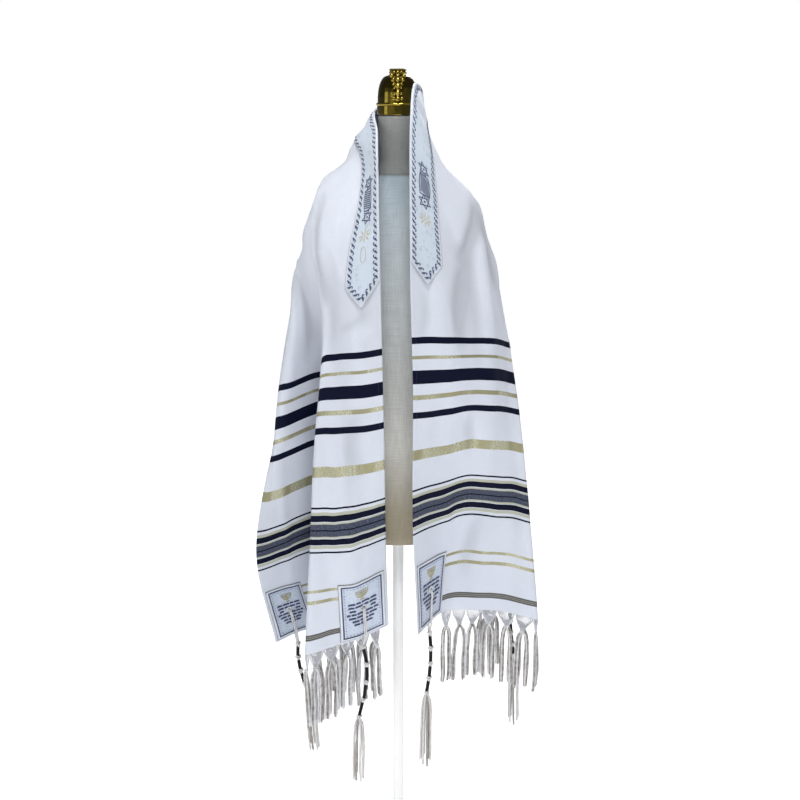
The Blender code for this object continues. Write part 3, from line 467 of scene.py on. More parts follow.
class Finish:
    """A node material with one Principled shader and short calls for its nodes."""

    def __init__(self, name, **sockets):
        self.material = bpy.data.materials.new(name)
        self.material.use_nodes = True
        self.tree = self.material.node_tree
        self.shader = self.tree.nodes["Principled BSDF"]
        self.set(**sockets)

    def feed(self, socket, value):
        if isinstance(value, Value):
            self.tree.links.new(value.socket, socket)
        else:
            socket.default_value = value

    def set(self, **values):
        for label, value in values.items():
            self.feed(self.shader.inputs[label.replace("_", " ")], value)

    def node(self, kind, inputs=(), **settings):
        node = self.tree.nodes.new("ShaderNode" + kind)
        for key, value in settings.items():
            setattr(node, key, value)
        for key, value in dict(inputs).items():
            self.feed(node.inputs[key], value)
        return node

    def value(self, kind, output, inputs=(), **settings):
        return Value(self, self.node(kind, inputs, **settings).outputs[output])

    def math(self, operation, *values):
        return self.value("Math", 0, enumerate(values), operation=operation)

    def mix(self, factor, first, second, blend="MIX"):
        return self.value("Mix", 2, {0: factor, 6: first, 7: second}, data_type="RGBA", blend_type=blend)

    def shade(self, colour, tone):
        return self.mix(1.0, colour, self.vector(tone, tone, tone), "MULTIPLY")

    def noise(self, scale, detail=2.0, roughness=0.5, **vector):
        return self.value("TexNoise", "Fac", {"Scale": scale, "Detail": detail, "Roughness": roughness,
                                              **vector})

    def streaks(self, x, y, along, across, detail=2.0):
        """Noise with so many grains in a metre each way."""
        return self.noise(1.0, detail, Vector=self.vector(x * along, y * across))

    def uv(self):
        """The two lengths in metres that a piece's map holds."""
        split = self.node("SeparateXYZ", {"Vector": self.value("UVMap", 0, uv_map="cloth")})
        return Value(self, split.outputs[0]), Value(self, split.outputs[1])

    def vector(self, x, y, z=0.0):
        return self.value("CombineXYZ", 0, {"X": x, "Y": y, "Z": z})

    def ramp(self, value, stops, interpolation="LINEAR"):
        """Colour and alpha of a ramp through stops of (place, colour)."""
        node = self.node("ValToRGB", {"Fac": value})
        node.color_ramp.interpolation = interpolation
        elements = node.color_ramp.elements
        for k, (place, colour) in enumerate(stops):
            element = elements[0] if k == 0 else elements.new(place)
            element.position, element.color = place, colour
        elements.remove(elements[len(elements) - 1])
        return Value(self, node.outputs[0]), Value(self, node.outputs[1])

    def bump(self, height, distance, strength=1.0):
        inputs = {"Height": height, "Distance": distance, "Strength": strength}
        self.set(Normal=self.value("Bump", 0, inputs))

    def thin(self, colour, share):
        """Lets a share of the light through, as thin cloth does."""
        mixed = self.node("MixShader", {"Fac": share})
        self.tree.links.new(self.shader.outputs[0], mixed.inputs[1])
        self.feed(mixed.inputs[2], self.value("BsdfTranslucent", 0, {"Color": colour}))
        self.tree.links.new(mixed.outputs[0], self.tree.nodes["Material Output"].inputs["Surface"])


def linear(red, green, blue):
    """A colour given as it looks on screen, 0 to 255, as linear light."""
    values = [c / 255 for c in (red, green, blue)]
    return tuple(c / 12.92 if c < 0.04045 else ((c + 0.055) / 1.055) ** 2.4 for c in values) + (1.0,)


WHITE = linear(222, 227, 238)
NAVY = linear(2, 9, 38)
SLATE = linear(58, 66, 90)
GOLD = linear(152, 148, 116)
PALE_GOLD = linear(190, 192, 176)
TAUPE = linear(92, 91, 88)
ASH = linear(160, 160, 156)

# Stripes by distance from the hem in millimetres; what lies between them is white.
STRIPES = (
    (21.5, 24.8, TAUPE), (24.8, 25.8, ASH), (25.8, 27.4, TAUPE), (27.4, 28.4, ASH), (28.4, 31.5, TAUPE),
    (83, 88, GOLD), (101, 106, GOLD), (166.5, 169.5, NAVY), (174.5, 179.5, PALE_GOLD),
    (180, 190, NAVY), (190.5, 193.5, PALE_GOLD), (194, 203, SLATE), (203, 205, NAVY), (205, 213, SLATE),
    (213.5, 216.5, PALE_GOLD), (217, 227, NAVY), (227.5, 231.5, PALE_GOLD), (236.5, 239.5, NAVY),
    (286, 301, GOLD), (349, 359, NAVY), (376, 383, GOLD), (399, 418, NAVY), (435, 440, GOLD),
    (458, 467, NAVY))
STRIPE_REACH = (250, 500)       # the two stretches above the hem, in millimetres, with a ramp each
SHINE = {WHITE: 0.0, NAVY: 0.2, SLATE: 0.3, TAUPE: 0.5, ASH: 0.5, PALE_GOLD: 0.6, GOLD: 1.0}
WEAVE_PITCH, SATIN_PITCH, THREAD_PITCH, YARN_PITCH = 0.0009, 0.0007, 0.0007, 0.003
SLUB_RANGE = (0.7, 1.3)         # the usual span of a weave's uneven threads
HEM_EDGE = 0.0075               # width of the turned long edge
STITCH_IN, STITCH_HALF, STITCH_PITCH = 0.0065, 0.00035, 0.0028     # the stitches that hold it
FOLD_SHADE_DEPTHS, FOLD_SHADE_TONES = (-0.0045, -0.0002), (0.74, 1.0)       # painted shade: how much darker the cloth is painted in a trough, by the trough's depth
WHITE_RIM, SHADOW_RIM = 0.0045, 0.0008    # widths of the satin's white border and of the painted shadow line round it, along its folded edge


def stripe_ramp(finish, hem_mm, low, high):
    """A ramp of the stripes from low to high; its alpha tells how much metal thread is in them."""
    marks = [(low, WHITE)]
    for start, end, colour in STRIPES:
        if low <= start < high:
            if marks[-1][0] == start:
                marks.pop()
            marks += [(start, colour), (end, WHITE)]
    stops = [((start - low) / (high - low), colour[:3] + (SHINE[colour],)) for start, colour in marks]
    return finish.ramp(hem_mm.span(low, high), stops, "CONSTANT")


def weave(finish, s, t, pitch):
    """Height of a plain weave, and its uneven threads alone."""
    threads = s.wave(TURN / pitch) * t.wave(TURN / pitch)
    slubs = finish.streaks(s, t, 1400, 60) + finish.streaks(s, t, 60, 1400)
    return threads * 0.5 + slubs, slubs


def cloth_finish():
    finish = Finish("shawl_weave", Sheen_Weight=0.02, Sheen_Roughness=0.4, Specular_IOR_Level=0.12)
    s, t = finish.uv()
    edge = finish.math("MINIMUM", t, SHAWL_WIDTH - t)
    hem = finish.math("MINIMUM", s + LEFT_LENGTH, RIGHT_LENGTH - s)
    hem_mm = hem * 1000 + finish.streaks(s, t, 40, 900).span(0, 1, -0.35, 0.35)
    low_colour, low_shine = stripe_ramp(finish, hem_mm, 0, STRIPE_REACH[0])
    high_colour, high_shine = stripe_ramp(finish, hem_mm, *STRIPE_REACH)
    above = hem_mm > STRIPE_REACH[0]
    shine = low_shine * (1.0 - above) + high_shine * above
    lurex = shine > 0.7
    slate = finish.math("COMPARE", shine, SHINE[SLATE], 0.04)
    height, slubs = weave(finish, s, t, WEAVE_PITCH)
    fold = finish.value("Attribute", "Fac", attribute_name="fold")
    tone = slubs.span(*SLUB_RANGE, 0.965, 1.02) * finish.noise(9.0, 3.0).span(0.3, 0.7, 0.97, 1.02)
    # Fine flecks: on the slate stripes they are pale threads in the weave, on the metal-thread stripes
    # they carry painted glint.
    fleck_and_glint = finish.streaks(s, t, 1500, 260, 3.0)
    glint_patches = finish.streaks(s, t, 5, 26, 1.0).span(0.42, 0.58, 0.10, 0.90)
    stitched = finish.math("COMPARE", edge, STITCH_IN, STITCH_HALF) * (s.wave(TURN / STITCH_PITCH) > -0.3)
    beside_patch = (edge < PATCH_INSET + 0.0008) * (hem_mm < 1000 * PATCH_TOP)
    colour = finish.mix(beside_patch, finish.mix(above, low_colour, high_colour), WHITE)
    # Painted shade: the cloth is darkened in the creases' troughs, on top of the weave's own uneven tone.
    colour = finish.shade(colour, tone * fold.span(*FOLD_SHADE_DEPTHS, *FOLD_SHADE_TONES))
    # Painted glint: pale flecks in broad patches on the metal-thread stripes stand for light caught by
    # the lurex.
    colour = finish.mix(lurex * fleck_and_glint.span(0.42, 0.62) * glint_patches, colour, linear(222, 222, 202))
    colour = finish.mix(slate * fleck_and_glint.span(0.45, 0.65, 0.0, 0.30), colour, ASH)
    colour = finish.mix(stitched * 0.12, colour, linear(150, 156, 172))
    finish.set(Base_Color=colour, Metallic=lurex * 0.35, Roughness=shine.span(0.0, 1.0, 0.72, 0.42))
    finish.bump(height * 0.35 + (edge < HEM_EDGE) * 1.6 - stitched * 0.9, 0.0004, 0.55)
    finish.thin(colour, 0.12)
    return finish.material


def satin_finish(name, ground, figure, edge, scale):
    """Pale satin with a tone-on-tone figure, as in brocade."""
    finish = Finish(name, Sheen_Weight=0.2, Specular_IOR_Level=0.6)
    s, t = finish.uv()
    place = finish.vector(s * scale, t * scale)
    leaves = finish.value("TexVoronoi", "Distance", {"Vector": place, "Scale": 1.0, "Randomness": 0.75})
    figured = (1.0 - leaves.span(0.32, 0.40)) * finish.noise(2.3, 3.0, 0.6, Vector=place).span(0.40, 0.55)
    height, slubs = weave(finish, s, t, SATIN_PITCH)
    colour = finish.shade(finish.mix(figured, ground, figure), slubs.span(*SLUB_RANGE, 0.94, 1.05))
    colour = finish.mix(edge(finish, s, t, WHITE_RIM), colour, linear(226, 230, 238))
    # Painted shadow: a thin grey line along the satin's folded edge.
    finish.set(Base_Color=finish.mix(edge(finish, s, t, SHADOW_RIM), colour, linear(138, 140, 146)),
               Roughness=figured.span(0.0, 1.0, 0.38, 0.55))
    finish.bump(height * 0.3 + figured, 0.00025, 0.6)
    return finish.material


def band_edge(finish, s, t, width):
    """1 within a width of the neckband's folded edge: near its long sides and along its points."""
    middle = finish.math("ABSOLUTE", t - BAND_WIDTH / 2)
    beyond = finish.math("MAXIMUM", BAND_LEFT - s, s - BAND_RIGHT)
    half = BAND_WIDTH / 2 - finish.math("MAXIMUM", beyond, 0.0) * (BAND_WIDTH / 2 / BAND_POINT)
    return middle + 0.62 * width > half


def patch_edge(finish, s, t, width):
    """1 within a width of a corner patch's edge; its map starts at its inner lower corner."""
    across = finish.math("MINIMUM", s, PATCH_OUT - PATCH_INSET - s)
    up = finish.math("MINIMUM", t, PATCH_TOP - PATCH_LOW - t)
    return finish.math("MINIMUM", across, up) < width


def thread_finish(name, colour, metallic=0.0, roughness=0.55):
    """Embroidery thread, lying side by side."""
    finish = Finish(name, Metallic=metallic, Sheen_Weight=0.2)
    s, t = finish.uv()
    lines = (s + t * 0.7).wave(TURN / THREAD_PITCH)
    mottle = finish.noise(700.0)
    tone = lines.span(-1, 1, 0.86, 1.08) + mottle.span(0.3, 0.7, -0.12, 0.12)
    finish.set(Base_Color=finish.shade(colour, tone),
               Roughness=mottle.span(0.3, 0.7, roughness - 0.1, roughness + 0.1))
    finish.bump(lines, 0.0002, 0.5)
    return finish.material


def yarn_finish(name, colour, shade, sheen=0.4):
    """Spun yarn: fine fibres round the strand and darker or lighter stretches along it."""
    finish = Finish(name, Sheen_Weight=sheen, Sheen_Roughness=0.5)
    length, around_it = finish.uv()
    fibres = finish.math("SINE", length * (TURN / YARN_PITCH) + around_it * TURN)
    fuzz = finish.noise(900.0, 4.0, 0.7)
    mixed = finish.mix(finish.noise(22.0).span(0.42, 0.66), colour, shade)
    tone = fibres.span(-1, 1, 0.88, 1.03) + fuzz.span(0.3, 0.7, -0.08, 0.08)
    finish.set(Base_Color=finish.shade(mixed, tone), Roughness=fuzz.span(0.3, 0.7, 0.72, 0.92))
    finish.bump(fibres + fuzz, 0.0003, 0.6)
    return finish.material


# Linen of the form by share of its height, partly painted light and shade: brown painted shade towards
# the bottom, painted lighter on the body where the falls shade it, a dark seam line, and the neck darker
# above it, partly its own cover and partly painted shade.
LINEN_COLOUR_AND_SHADE = ((0.0, (150, 138, 114)), (0.13, (176, 166, 144)), (0.28, (232, 230, 222)),
               (0.60, (200, 205, 206)), (0.866, (164, 178, 187)), (0.870, (110, 114, 114)),
               (0.874, (138, 140, 138)))
LINEN_DROP = 0.69               # the height that these shares are of, below the ring


def linen_finish():
    finish = Finish("form_linen_weave", Sheen_Weight=0.15)
    around_it, up = finish.uv()
    threads = finish.streaks(around_it, up, 900, 30, 3.0) + finish.streaks(around_it, up, 30, 900, 3.0)
    tones = [(place, linear(*colour)) for place, colour in LINEN_COLOUR_AND_SHADE]
    # Painted light and shade: the ramp sets the linen's brightness height by height, as well as its
    # colour.
    colour, _ = finish.ramp(up.span(RING_Z - LINEN_DROP, RING_Z), tones)
    stain = finish.noise(14.0, 4.0).span(0.35, 0.7, 1.02, 0.94)
    finish.set(Base_Color=finish.shade(colour, threads.span(*SLUB_RANGE, 0.84, 1.12) * stain),
               Roughness=threads.span(*SLUB_RANGE, 0.75, 0.92))
    finish.bump(threads, 0.0005, 0.55)
    return finish.material


def metal_finish(name, light, dark, smear, grain, rough, bump):
    """Polished metal, smeared; smear and grain are noises: scale, detail and roughness."""
    finish = Finish(name, Metallic=1.0)
    smear = finish.noise(*smear)
    finish.set(Base_Color=finish.mix(smear.span(0.35, 0.7), linear(*light), linear(*dark)),
               Roughness=smear.span(0.3, 0.7, *rough))
    finish.bump(finish.noise(*grain), *bump)
    return finish.material


def stand_finish():
    finish = Finish("stand_satin_paint", Coat_Weight=0.2, Coat_Roughness=0.3)
    grain, wear = finish.noise(160.0, 4.0), finish.noise(11.0, 5.0, 0.7)
    finish.set(Base_Color=finish.mix(wear.span(0.5, 0.72), linear(246, 246, 245), linear(238, 238, 236)),
               Roughness=grain.span(0.3, 0.7, 0.34, 0.5))
    finish.bump(grain, 0.0001, 0.3)
    return finish.material


# ---- the shawl -----------------------------------------------------------------------------------
CLOTH_SHOWN = 0.0009            # thickness of the shown cloth
TRIM_SHOWN = 0.0007             # thickness of the shown neckband and patches
TRIM_LIFT = 0.0011              # from the middle of the cloth to the middle of what is sewn on it
HOLE_HALF = 0.004
ROW_STEP, MIDDLE_COLUMNS = 0.004, 62
FOLD_CLOSER, FOLD_REACH = 2.4, 0.011    # how much closer the columns lie at a fold, and how far that goes
# Painted shade: below the shoulders the cloth is painted darker, as if it lay this much deeper in a fold
# than it does.
HANG_SHADE, HANG_MIDDLE, HANG_REACH = 0.0014, 0.345, 0.095


def cloth_rows():
    """Lines along the cloth, closer near the hems, with some on the sides of the patches and holes."""
    marks = (0, PATCH_LOW, HOLE_UP - HOLE_HALF, HOLE_UP + HOLE_HALF, PATCH_TOP, 0.35)
    ups = between(marks, (1, 13, 2, 10, 61))
    left, right = -(LEFT_LENGTH - ups), (RIGHT_LENGTH - ups)[::-1]
    steps = int(round((right[0] - left[-1]) / ROW_STEP))
    return np.concatenate([left, np.linspace(left[-1], right[0], steps + 1)[1:-1], right])


def cloth_columns(rows):
    """For each row, lines across the cloth: fixed at the edges, and between them closer at the folds."""
    marks = (0, PATCH_INSET, HOLE_ACROSS - HOLE_HALF, HOLE_ACROSS + HOLE_HALF, PATCH_OUT)
    edge = between(marks, (2, 8, 2, 8))
    fine = np.linspace(PATCH_OUT, SHAWL_WIDTH - PATCH_OUT, 400)
    weight = 1 + sum(FOLD_CLOSER * np.exp(-((fine[None] - line.at(rows)[:, :1]) / FOLD_REACH) ** 2)
                     for line in FOLDS)
    total = np.cumsum(weight, axis=1)
    total = (total - total[:, :1]) / (total[:, -1:] - total[:, :1])
    shares = np.linspace(0, 1, MIDDLE_COLUMNS + 1)[1:-1]
    middle = np.array([np.interp(shares, row, fine) for row in total])
    sides = np.broadcast_to(edge, (len(rows), len(edge)))
    return np.hstack([sides, middle, SHAWL_WIDTH - sides[:, ::-1]])


def round_hole(x, y, centre_x, centre_y):
    """Pulls the corners of a square hole in onto a circle, and tells which cells lie inside it."""
    corner = (abs(abs(x - centre_x) - HOLE_HALF) < 1e-5) & (abs(abs(y - centre_y) - HOLE_HALF) < 1e-5)
    shrink = np.where(corner, math.sqrt(0.5), 1.0)
    cell_x, cell_y = ((v[:-1, :-1] + v[1:, 1:]) / 2 for v in (x, y))
    inside = (abs(cell_x - centre_x) < HOLE_HALF) & (abs(cell_y - centre_y) < HOLE_HALF)
    return centre_x + (x - centre_x) * shrink, centre_y + (y - centre_y) * shrink, inside


def used_only(faces, *columns):
    """Faces and columns of values without the points that no face uses."""
    used = np.unique(faces)
    place = np.zeros(used[-1] + 1, dtype=int)
    place[used] = np.arange(len(used))
    return (place[faces],) + tuple(values.reshape(-1, values.shape[-1])[used] for values in columns)


def build_cloth(material):
    rows = cloth_rows()
    t = cloth_columns(rows)
    s = np.broadcast_to(rows[:, None], t.shape).copy()
    holes = np.zeros((s.shape[0] - 1, s.shape[1] - 1), dtype=bool)
    for side in (-1, 1):
        for across in (HOLE_ACROSS, SHAWL_WIDTH - HOLE_ACROSS):
            s, t, inside = round_hole(s, t, hem_s(side, HOLE_UP), across)
            holes |= inside
    points, _ = surface(s, t)
    # Painted shade: the creases' height, lowered below the shoulders, is kept so that the finish can
    # darken the troughs.
    fold = relief(s, t) - HANG_SHADE * np.exp(-((np.abs(s) - HANG_MIDDLE) / HANG_REACH) ** 4)
    faces, points, uv, fold = used_only(grid_faces(*s.shape)[~holes.ravel()], points,
                                        np.stack([woven_s(s, t), t], axis=-1), fold[..., None])
    cloth = make_object("shawl_drape", points, faces, [material], uv, wall=CLOTH_SHOWN)
    cloth.data.attributes.new("fold", "FLOAT", "POINT").data.foreach_set("value", fold.ravel())
    return cloth


# ---- what is sewn and stitched on the cloth ------------------------------------------------------
STITCH_WALL = 0.0002
# Profiles: share of a leaf's size, or place across a stroke, and share of the height.
LEAF_RINGS = ((1.0, 0.0), (0.62, 0.75))
STROKE_LANES = ((-0.5, 0.0), (-0.28, 0.8), (0.0, 1.0), (0.28, 0.8), (0.5, 0.0))


def loop(path, closed):
    return np.array(list(path) + list(path[:1]) if closed else path, dtype=float)


class Stitches(Pile):
    """Small raised shapes laid out flat in lengths (a, b) and then put on a surface.

    place(a, b) gives the cloth coordinates (s, t); lift is measured from the middle of the cloth, and
    under(s, t) is what the sewn piece below rises by.
    """

    def __init__(self, place, lift, under=lambda s, t: 0.0):
        super().__init__()
        self.place, self.lift, self.under = place, lift, under

    def leaf(self, a, b, angle, length, width, slot=0, bend=0.0, height=0.0004, corners=10):
        """A pointed oval, domed; bend curves it into a comma."""
        turn, ca, sa = around(corners), math.cos(angle), math.sin(angle)
        rings = []
        for scale, rise in LEAF_RINGS:
            x = np.cos(turn) * length / 2 * scale
            y = np.sin(turn) * width / 2 * scale * (1 - 0.35 * np.cos(turn))
            y += bend * (2 * x / length) ** 2
            corner = as_arrays(a + x * ca - y * sa, b + x * sa + y * ca, height * rise)
            rings.append(np.stack(corner, axis=-1))
        faces = grid_faces(2, corners, closed=True).tolist()
        faces += [(corners + k, corners + (k + 1) % corners, 2 * corners) for k in range(corners)]
        self.add(np.vstack(rings + [[(a, b, height)]]), faces, slot)

    def stroke(self, path, width, slot=0, closed=False, height=0.0003, step=0.003):
        """A satin-stitched line along a path of (a, b) points."""
        corners = loop(path, closed)
        length = arc_length(corners)
        counts = [max(1, int(round(span / step))) for span in np.diff(length)]
        marks = between(length, counts)
        points = np.stack([np.interp(marks, length, corners[:, k]) for k in range(2)], axis=1)
        if closed:
            points = points[:-1]
            ahead, behind = np.roll(points, -1, axis=0), np.roll(points, 1, axis=0)
        else:
            ahead = np.vstack([points[1:], 2 * points[-1:] - points[-2:-1]])
            behind = np.vstack([2 * points[:1] - points[1:2], points[:-1]])
        out = unit(ahead - points)
        along = unit(unit(points - behind) + out)
        across = np.stack([-along[:, 1], along[:, 0]], axis=1)
        mitre = np.clip(np.sum(along * out, axis=1), 0.5, 1)[:, None]
        n = len(points)
        lanes = [np.hstack([points + across * (width * share) / mitre, np.full((n, 1), height * rise)])
                 for share, rise in STROKE_LANES]
        faces = [(lane * n + k, (lane + 1) * n + k, (lane + 1) * n + (k + 1) % n, lane * n + (k + 1) % n)
                 for lane in range(len(STROKE_LANES) - 1) for k in range(n if closed else n - 1)]
        self.add(np.vstack(lanes), faces, slot)

    def build(self, name, materials):
        a, b, height = np.vstack(self.verts).T
        s, t = self.place(a, b)
        points, _ = surface(s, t, self.lift + self.under(s, t) + height)
        return make_object(name, points, self.faces, materials, np.stack([a, b], axis=-1), self.slots,
                           wall=STITCH_WALL)


def band_half(s):
    beyond = np.maximum(np.maximum(BAND_LEFT - s, s - BAND_RIGHT), 0)
    return BAND_WIDTH / 2 * np.maximum(1 - beyond / BAND_POINT, 0.02)


def pucker(s, t):
    """The neckband's own wrinkles: close ones round the neck, a few slanted ones on the falls."""
    near = np.exp(-(s / 0.17) ** 4)
    wave = np.sin(TURN * (s / 0.034 + 5.0 * (t - 0.03)) + 1.3 * np.sin(31 * s))
    slow = np.sin(TURN * (s / 0.071 - 8.0 * t) + 0.8)
    middle = np.clip(1 - ((t - BAND_WIDTH / 2) / (BAND_WIDTH / 2)) ** 2, 0, 1)
    return middle * (0.0011 * near * (1 + wave) + 0.0012 * (1 + slow))


def build_band(material):
    marks = (BAND_LEFT - BAND_POINT, BAND_LEFT, BAND_RIGHT, BAND_RIGHT + BAND_POINT)
    rows = between(marks, (14, 240, 14))
    shares = np.linspace(-1, 1, 29)
    s = np.repeat(rows[:, None], len(shares), axis=1)
    t = np.maximum(BAND_WIDTH / 2 + shares[None] * band_half(rows)[:, None], 0.0008)
    points, _ = surface(s, t, TRIM_LIFT + pucker(s, t))
    uv = np.stack([s, t], axis=-1).reshape(-1, 2)
    return make_object("neckband_satin", points.reshape(-1, 3), grid_faces(*s.shape), [material], uv,
                       wall=TRIM_SHOWN)


VINE_PITCH, VINE_INSET = 0.0082, 0.0068
Leaf = namedtuple("Leaf", "along aside angle length width bend height corners")
# The leaves of one step of the vine, from its middle.
VINE = (Leaf(0, 0, 1.0, 0.0068, 0.0030, 0.0012, 0.0006, 10),
        Leaf(0.0032, 0.0030, -0.5, 0.0042, 0.0020, -0.0006, 0.0005, 10),
        Leaf(-0.0026, -0.0030, 0.3, 0.0028, 0.0017, 0.0, 0.0004, 8))
CARTOUCHES = ((-1, -0.176), (1, 0.214))     # side, and its first star's distance from the centre back
CARTOUCHE_STEP, ROSETTE_STEP = 0.045, 0.070     # from there to its second star and to its rosette
WIDEN = 1.3                     # the motifs are broader across the band than along it
STAR_RADIUS, STAR_TURN = 0.0092, 0.26
# The frame of the block between the stars: half its length, half its height at the ends and the middle.
BLOCK_LONG, BLOCK_LOW, BLOCK_HIGH = 0.0135, 0.0094, 0.0116
BLOCK_CORNERS = ((-1, -BLOCK_LOW), (0, -BLOCK_HIGH), (1, -BLOCK_LOW),
                 (1, BLOCK_LOW), (0, BLOCK_HIGH), (-1, BLOCK_LOW))
HATCHES, HATCH_PITCH, HATCH_SLANT, HATCH_HALF = 9, 0.0026, 0.0014, 0.0088
ROSETTE_RADIUS = 0.0066
OVAL_BEYOND, OVAL_HALVES = 0.0255, (0.0105, 0.0052)


def band_outline(inset):
    """Points of the band's long sides and its two tips, moved in by inset."""
    low, high = inset, BAND_WIDTH - inset
    slope = BAND_POINT / (BAND_WIDTH / 2)
    tip = inset * math.hypot(1, slope)
    shoulder = inset * (math.hypot(1, slope) - slope)
    left, right = BAND_LEFT + shoulder, BAND_RIGHT - shoulder
    return [(BAND_LEFT - BAND_POINT + tip, BAND_WIDTH / 2), (left, low), (right, low),
            (BAND_RIGHT + BAND_POINT - tip, BAND_WIDTH / 2), (right, high), (left, high)]


def along_path(path, pitch):
    """Evenly spaced (a, b, angle) marks along a closed path."""
    points = loop(path, True)
    length = arc_length(points)
    count = int(round(length[-1] / pitch))
    for k in range(count):
        mark = (k + 0.5) * length[-1] / count
        i = np.searchsorted(length, mark) - 1
        step = points[i + 1] - points[i]
        share = (mark - length[i]) / (length[i + 1] - length[i])
        yield tuple(points[i] + step * share) + (math.atan2(step[1], step[0]),)


def oval(centre_a, centre_b, half_a, half_b, corners=20, start=0.0):
    return [(centre_a + half_a * math.cos(start + turn), centre_b + half_b * math.sin(start + turn))
            for turn in around(corners)]


def build_band_stitches(threads):
    """Edging, a leafy vine, and on each side two stars, a hatched block and a rosette."""
    work = Stitches(lambda a, b: (a, b), TRIM_LIFT + TRIM_SHOWN / 2 + 0.0001, pucker)
    middle = BAND_WIDTH / 2
    for inset, width in ((0.0014, 0.0007), (0.0032, 0.0006)):
        work.stroke(band_outline(inset), width, 1, closed=True, step=0.006)
    for a, b, angle in along_path(band_outline(VINE_INSET), VINE_PITCH):
        ca, sa = math.cos(angle), math.sin(angle)
        for leaf in VINE:
            work.leaf(a + leaf.along * ca - leaf.aside * sa, b + leaf.along * sa + leaf.aside * ca,
                      angle + leaf.angle, leaf.length, leaf.width, 0, leaf.bend, leaf.height,
                      leaf.corners)
    for side, start in CARTOUCHES:
        for place in (start, start + side * CARTOUCHE_STEP):
            for turn in (STAR_TURN * side, math.pi + STAR_TURN * side):
                triangle = oval(place, middle, STAR_RADIUS, WIDEN * STAR_RADIUS, 3, turn)
                work.stroke(triangle, 0.0013, closed=True, height=0.0004)
            work.leaf(place, middle, 0, 0.0030, 0.0038, corners=8)
        block = start + side * CARTOUCHE_STEP / 2
        frame_shape = [(block + end * BLOCK_LONG, middle + rise) for end, rise in BLOCK_CORNERS]
        work.stroke(frame_shape, 0.0015, closed=True)
        for k in range(HATCHES):
            a = block + (k - (HATCHES - 1) / 2) * HATCH_PITCH
            work.stroke([(a + end * HATCH_SLANT, middle + end * HATCH_HALF) for end in (-1, 1)], 0.0014)
        rosette = start + side * ROSETTE_STEP
        petals = oval(rosette, middle, ROSETTE_RADIUS, WIDEN * ROSETTE_RADIUS, 8)
        for turn, (a, b) in zip(around(8), petals):
            work.leaf(a, b, turn, 0.0078, 0.0024, 2)
        work.leaf(rosette, middle, 0, 0.0036, 0.0044, 2, corners=8)
        if side < 0:
            ring = oval(rosette - OVAL_BEYOND, middle, *OVAL_HALVES)
            work.stroke(ring, 0.0007, 2, closed=True, step=0.0015)
    return work.build("neckband_embroidery", threads)


PATCHES = (("patch_front_left", -1, False), ("patch_outer_left", -1, True),
           ("patch_front_right", 1, False), ("patch_outer_right", 1, True))
PATCH_WIDE, PATCH_HIGH = PATCH_OUT - PATCH_INSET, PATCH_TOP - PATCH_LOW
HOLE_A, HOLE_B = HOLE_ACROSS - PATCH_INSET, HOLE_UP - PATCH_LOW     # the hole in a patch's own lengths
# Borders of a patch: inset, width, material and height.
BORDERS = ((0.0012, 0.0009, 1, 0.0003), (0.0056, 0.0021, 0, 0.0004))
DOT_INSET, DOT_PITCH = 0.0098, 0.0056
LAMP_DROP, ARM_STEP, ARM_TOP = 0.030, 0.0034, 0.0108    # the lamp's foot below the patch's top, its arms
# Lengths of the dashes in each row under the lamp, from the first row's drop below its foot.
DASH_ROWS = ((0.010, 0.014, 0.008, 0.012), (0.012, 0.008, 0.014, 0.010), (0.009, 0.013, 0.008, 0.011),
             (0.008, 0.012, 0.014, 0.008, 0.006), (0.013, 0.009, 0.010, 0.012), (0.009, 0.014, 0.012),
             (0.011, 0.008, 0.010))
DASH_DROP, DASH_STEP, DASH_GAP = 0.0095, 0.0068, 0.0017


def patch_place(side, outer):
    """Turns a patch's lengths, across from the cloth's edge and up from its low side, into (s, t)."""
    edge, way = (SHAWL_WIDTH - PATCH_INSET, -1) if outer else (PATCH_INSET, 1)
    return lambda a, b: (hem_s(side, PATCH_LOW + b), edge + way * a)


def build_patch(name, side, outer, material):
    across = between((0, HOLE_A - HOLE_HALF, HOLE_A + HOLE_HALF, PATCH_WIDE), (9, 2, 10))
    up = between((0, HOLE_B - HOLE_HALF, HOLE_B + HOLE_HALF, PATCH_HIGH), (13, 2, 10))
    a, b, inside = round_hole(*np.meshgrid(across, up), HOLE_A, HOLE_B)
    lift = TRIM_LIFT + 0.0003 * np.sin(70 * a + 1.1) * np.sin(55 * b)
    points, _ = surface(*patch_place(side, outer)(a, b), lift)
    faces, points, uv = used_only(grid_faces(*a.shape)[~inside.ravel()], points,
                                  np.stack([a, b], axis=-1))
    return make_object(name + "_satin", points, faces, [material], uv, wall=TRIM_SHOWN)


